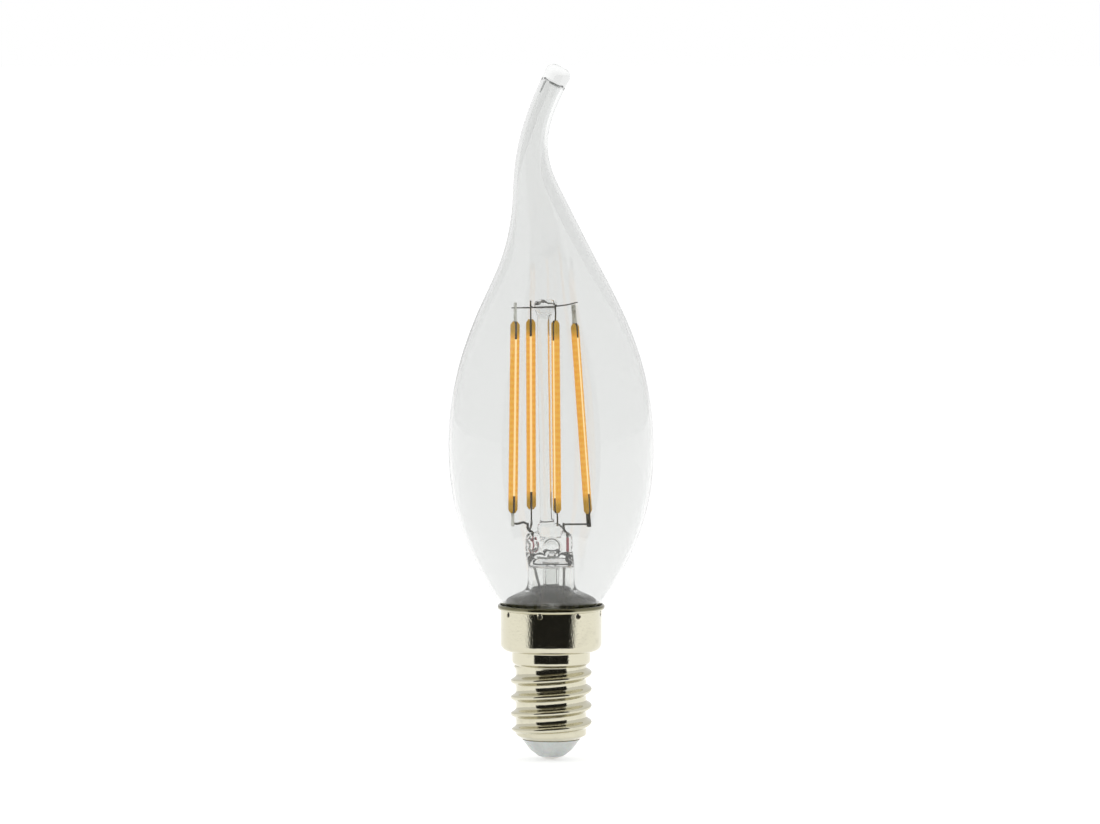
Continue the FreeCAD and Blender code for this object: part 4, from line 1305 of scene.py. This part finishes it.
class Wiring:
    """The wires in the glass. Routes and diameters are in millimetres."""

    width = 0.45
    widths: dict[str, float] = {"top": 0.24, "branch": 0.4, "seal": 0.52}
    routes: dict[str, tuple[Place, ...]] = {
        "long_top_wire": ((-6.7, -2.05, 77.0), (-4.1, -0.9, 76.95), (-3.1, -0.4, 76.95),
                          (1.0, 0.3, 77.15), (2.7, 1.2, 77.3), (4.5, 2.05, 77.7)),
        "short_top_wire": ((-3.6, 5.0, 76.9), (-3.0, 3.5, 76.65), (-2.0, 1.3, 77.2),
                           (-0.9, -1.0, 77.75), (0.2, -3.4, 77.85), (0.9, -5.2, 77.6)),
        "left_outer_lead": ((-3.05, 0.0, 35.5), (-3.15, 0.0, 34.7), (-2.9, 0.0, 32.9),
                            (-2.0, 0.0, 29.4), (-1.8, 0.0, 25.0), (-1.9, 0.0, 18.2)),
        "right_outer_lead": ((2.6, 0.0, 35.5), (2.75, 0.0, 35.0), (2.4, 0.0, 34.3), (2.2, 0.0, 32.7),
                             (2.15, 0.0, 18.2)),
        "left_seal_wire": ((-3.05, 0.0, 35.5), (-2.85, 0.0, 36.6), (-3.05, 0.0, 37.8)),
        "right_seal_wire": ((2.6, 0.0, 35.5), (2.6, 0.0, 37.8)),
        "left_inner_lead": ((-3.05, 0.0, 37.8), (-3.05, 0.0, 38.7), (-4.0, 0.0, 39.2),
                            (-4.0, 0.0, 40.35)),
        "right_inner_lead": ((2.6, 0.0, 37.8), (2.6, 0.0, 38.7), (2.1, 0.0, 39.2), (2.1, 0.0, 40.35)),
        "left_branch_wire": ((-6.5, -2.2, 40.45), (-5.6, -1.3, 40.3), (-4.7, -0.4, 40.55),
                             (-4.0, 0.0, 40.1)),
        "back_branch_wire": ((-3.4, 6.2, 40.35), (-3.35, 3.5, 39.9), (-3.6, 1.0, 39.2),
                             (-4.0, 0.0, 39.45)),
        "front_branch_wire": ((1.0, -6.4, 40.85), (2.1, 0.0, 39.45)),
        "right_branch_wire": ((6.3, 1.9, 39.95), (2.1, 0.0, 40.1)),
    }

    def build(self) -> None:
        """Make each wire and let it take the place of its node."""
        for name, route in self.routes.items():
            sealed = "seal" in name
            width = next((size for word, size in self.widths.items() if word in name), self.width)
            piece = tube_along(f"{name}_bent", SEAL_OXIDE if sealed else NICKEL_WIRE, route, width)
            stand_for(piece, "seal_copper" if sealed else "nickel_wire", name)


DRESSED: dict[str, Finish] = {
    "cap_insulator": INSULATOR_WHITE, "centre_contact": CONTACT_PLATING, "cement_ring": CEMENT,
    "circuit_board": BOARD, "bridge_rectifier": CHIP_BLACK, "current_regulator": CHIP_BLACK,
    "smoothing_capacitor": CAN, "fuse_resistor": RESISTOR, "contact_wire": TINNED_COPPER,
    "cap_wire": TINNED_COPPER,
}


# Studio


@dataclass(frozen=True)
class Ground(Finish):
    """Pale floor that is white to the eye and keeps a faint shadow."""

    name: str = "pale_ground"
    colour: Colour = (0.9, 0.9, 0.9)
    lift: float = 0.34

    def paint(self, graph: Graph) -> Node:
        """White by its own light where it is seen, and lit by the lamps."""
        glow = graph.mixed(graph.seen(), BLACK, WHITE)
        return graph.principled({
            "Base Color": self.colour, "Roughness": 0.9, "Specular IOR Level": 0.0,
            "Emission Color": glow, "Emission Strength": self.lift})


class Side(Enum):
    """Where a lamp stands."""

    LEFT = (-0.55, -0.25, 0.45)
    RIGHT = (0.6, -0.1, 0.4)
    TOP = (0.0, 0.1, 0.8)


@dataclass
class Studio:
    """Camera, floor, lamps and world of the photograph."""

    target: Vector
    elevation: float = 4.5
    distance: float = 1.5
    frame_width: float = 0.187
    card_half_angle: float = 49.0
    card_radius: float = 0.06
    card_split: float = 0.034
    card_height: float = 0.2
    card_columns: int = 24
    floor_z: float = -0.0002
    lamp_size: float = 0.5
    lamp_watts: float = 0.4
    sensor_mm: float = 36.0
    mirrored: Colour = (0.86, 0.86, 0.86)
    soft: Colour = (0.85, 0.85, 0.85)

    def build(self) -> None:
        """Set up the studio."""
        self.camera()
        self.floor()
        self.card()
        self.world()
        for side in Side:
            self.lamp(side)

    def camera(self) -> None:
        """A long lens, level with the lamp but for a few degrees."""
        data = bpy.data.cameras.new("camera")
        data.sensor_width = self.sensor_mm
        data.lens = self.sensor_mm * self.distance / self.frame_width
        data.clip_end = 20.0
        tilt = math.radians(self.elevation)
        eye = linked("camera", data)
        eye.location = self.target + Vector((0.0, -math.cos(tilt), math.sin(tilt))) * self.distance
        eye.rotation_euler = (math.pi / 2 - tilt, 0.0, 0.0)
        bpy.context.scene.camera = eye

    def floor(self) -> None:
        """A round floor, wide enough to fill the view."""
        skin = Skin()
        for radius in (0.05, 0.4, 1.2, 3.0):
            skin.circle(Vector((0.0, 0.0, self.floor_z)), radius)
        skin.mesh.faces.new(skin.rings[0])
        skin.piece("floor", Ground())

    def card(self) -> None:
        """The dark front of the studio, which only reflections show."""
        dark = Moulded("card_dark", (0.006, 0.0055, 0.004), (0.004, 0.004, 0.003), 0.9)
        olive = Moulded("card_olive", (0.13, 0.12, 0.08), (0.10, 0.09, 0.06), 0.9)
        self.sheet("front_card", dark, 0.0, self.card_split)
        self.sheet("upper_card", olive, self.card_split, self.card_height)

    def sheet(self, name: str, finish: Finish, low: float, high: float) -> None:
        """A bent card in front of the lamp, which only reflections show.

        Args:
            name: Its name.
            finish: Its finish.
            low: The height of its lower edge.
            high: The height of its upper edge.
        """
        data = bpy.data.meshes.new(name)
        form = bmesh.new()
        rows: list[Ring] = []
        for up in (low, high):
            row = []
            for k in range(self.card_columns + 1):
                share = 2 * k / self.card_columns - 1.0
                turn = math.radians(self.card_half_angle * share - 90.0)
                row.append(form.verts.new((math.cos(turn) * self.card_radius,
                                           math.sin(turn) * self.card_radius, up)))
            rows.append(row)
        for k in range(self.card_columns):
            form.faces.new((rows[0][k], rows[0][k + 1], rows[1][k + 1], rows[1][k]))
        form.to_mesh(data)
        form.free()
        data.materials.append(finish.material())
        card = linked(name, data)
        card.visible_camera = False
        card.visible_diffuse = False
        card.visible_transmission = False
        card.visible_shadow = False

    def lamp(self, side: Side) -> None:
        """A large soft lamp on one side."""
        data = bpy.data.lights.new(f"{side.name.lower()}_lamp", "AREA")
        data.shape = "DISK"
        data.size = self.lamp_size
        data.energy = self.lamp_watts
        lamp = linked(data.name, data)
        lamp.location = side.value
        lamp.rotation_euler = (self.target - lamp.location).to_track_quat("-Z", "Y").to_euler()
        lamp.visible_glossy = False
        lamp.visible_camera = False
        lamp.visible_transmission = False

    def world(self) -> None:
        """White where it is seen, and softer where it only lights."""
        world = bpy.data.worlds.new("studio")
        bpy.context.scene.world = world
        world.use_nodes = True
        graph = Graph(world.node_tree)
        outside = graph.ray("Transmission Depth") < 0.5
        white = graph.mixed(graph.ray("Is Glossy Ray") * outside, WHITE, self.mirrored)
        light = graph.mixed(graph.seen(), self.soft, white)
        sky = graph.add("Background", None, {"Color": light, "Strength": 1.0})
        graph.add("OutputWorld", None, {"Surface": sky.outputs[0]})


FILAMENTS = (
    Filament("left", (-6.5, -2.2, 42.2), (-6.1, -1.9), 22.0, top_finish=PALE_TAB,
             foot_finish=PALE_TAB),
    Filament("back", (-3.4, 6.2, 42.1), (-3.5, 5.0), 0.0),
    Filament("front", (1.0, -6.4, 42.6), (0.7, -5.2), -48.0, tab_width=0.28),
    Filament("right", (6.3, 1.9, 41.7), (4.0, 1.9), 48.0, top_finish=PALE_TAB),
)


def main() -> None:
    """Build the lamp and its studio."""
    logging.basicConfig(level=logging.INFO, format="%(message)s")
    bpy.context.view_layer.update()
    bpy.context.scene.view_settings.view_transform = "Standard"
    Envelope().build()
    Stem().build()
    for filament in FILAMENTS:
        filament.build()
    Wiring().build()
    Cap().build()
    for node, finish in DRESSED.items():
        dress(node, finish)
    Studio(Vector((-0.0002, 0.0, 0.0592))).build()


if __name__ == "__main__":
    main()
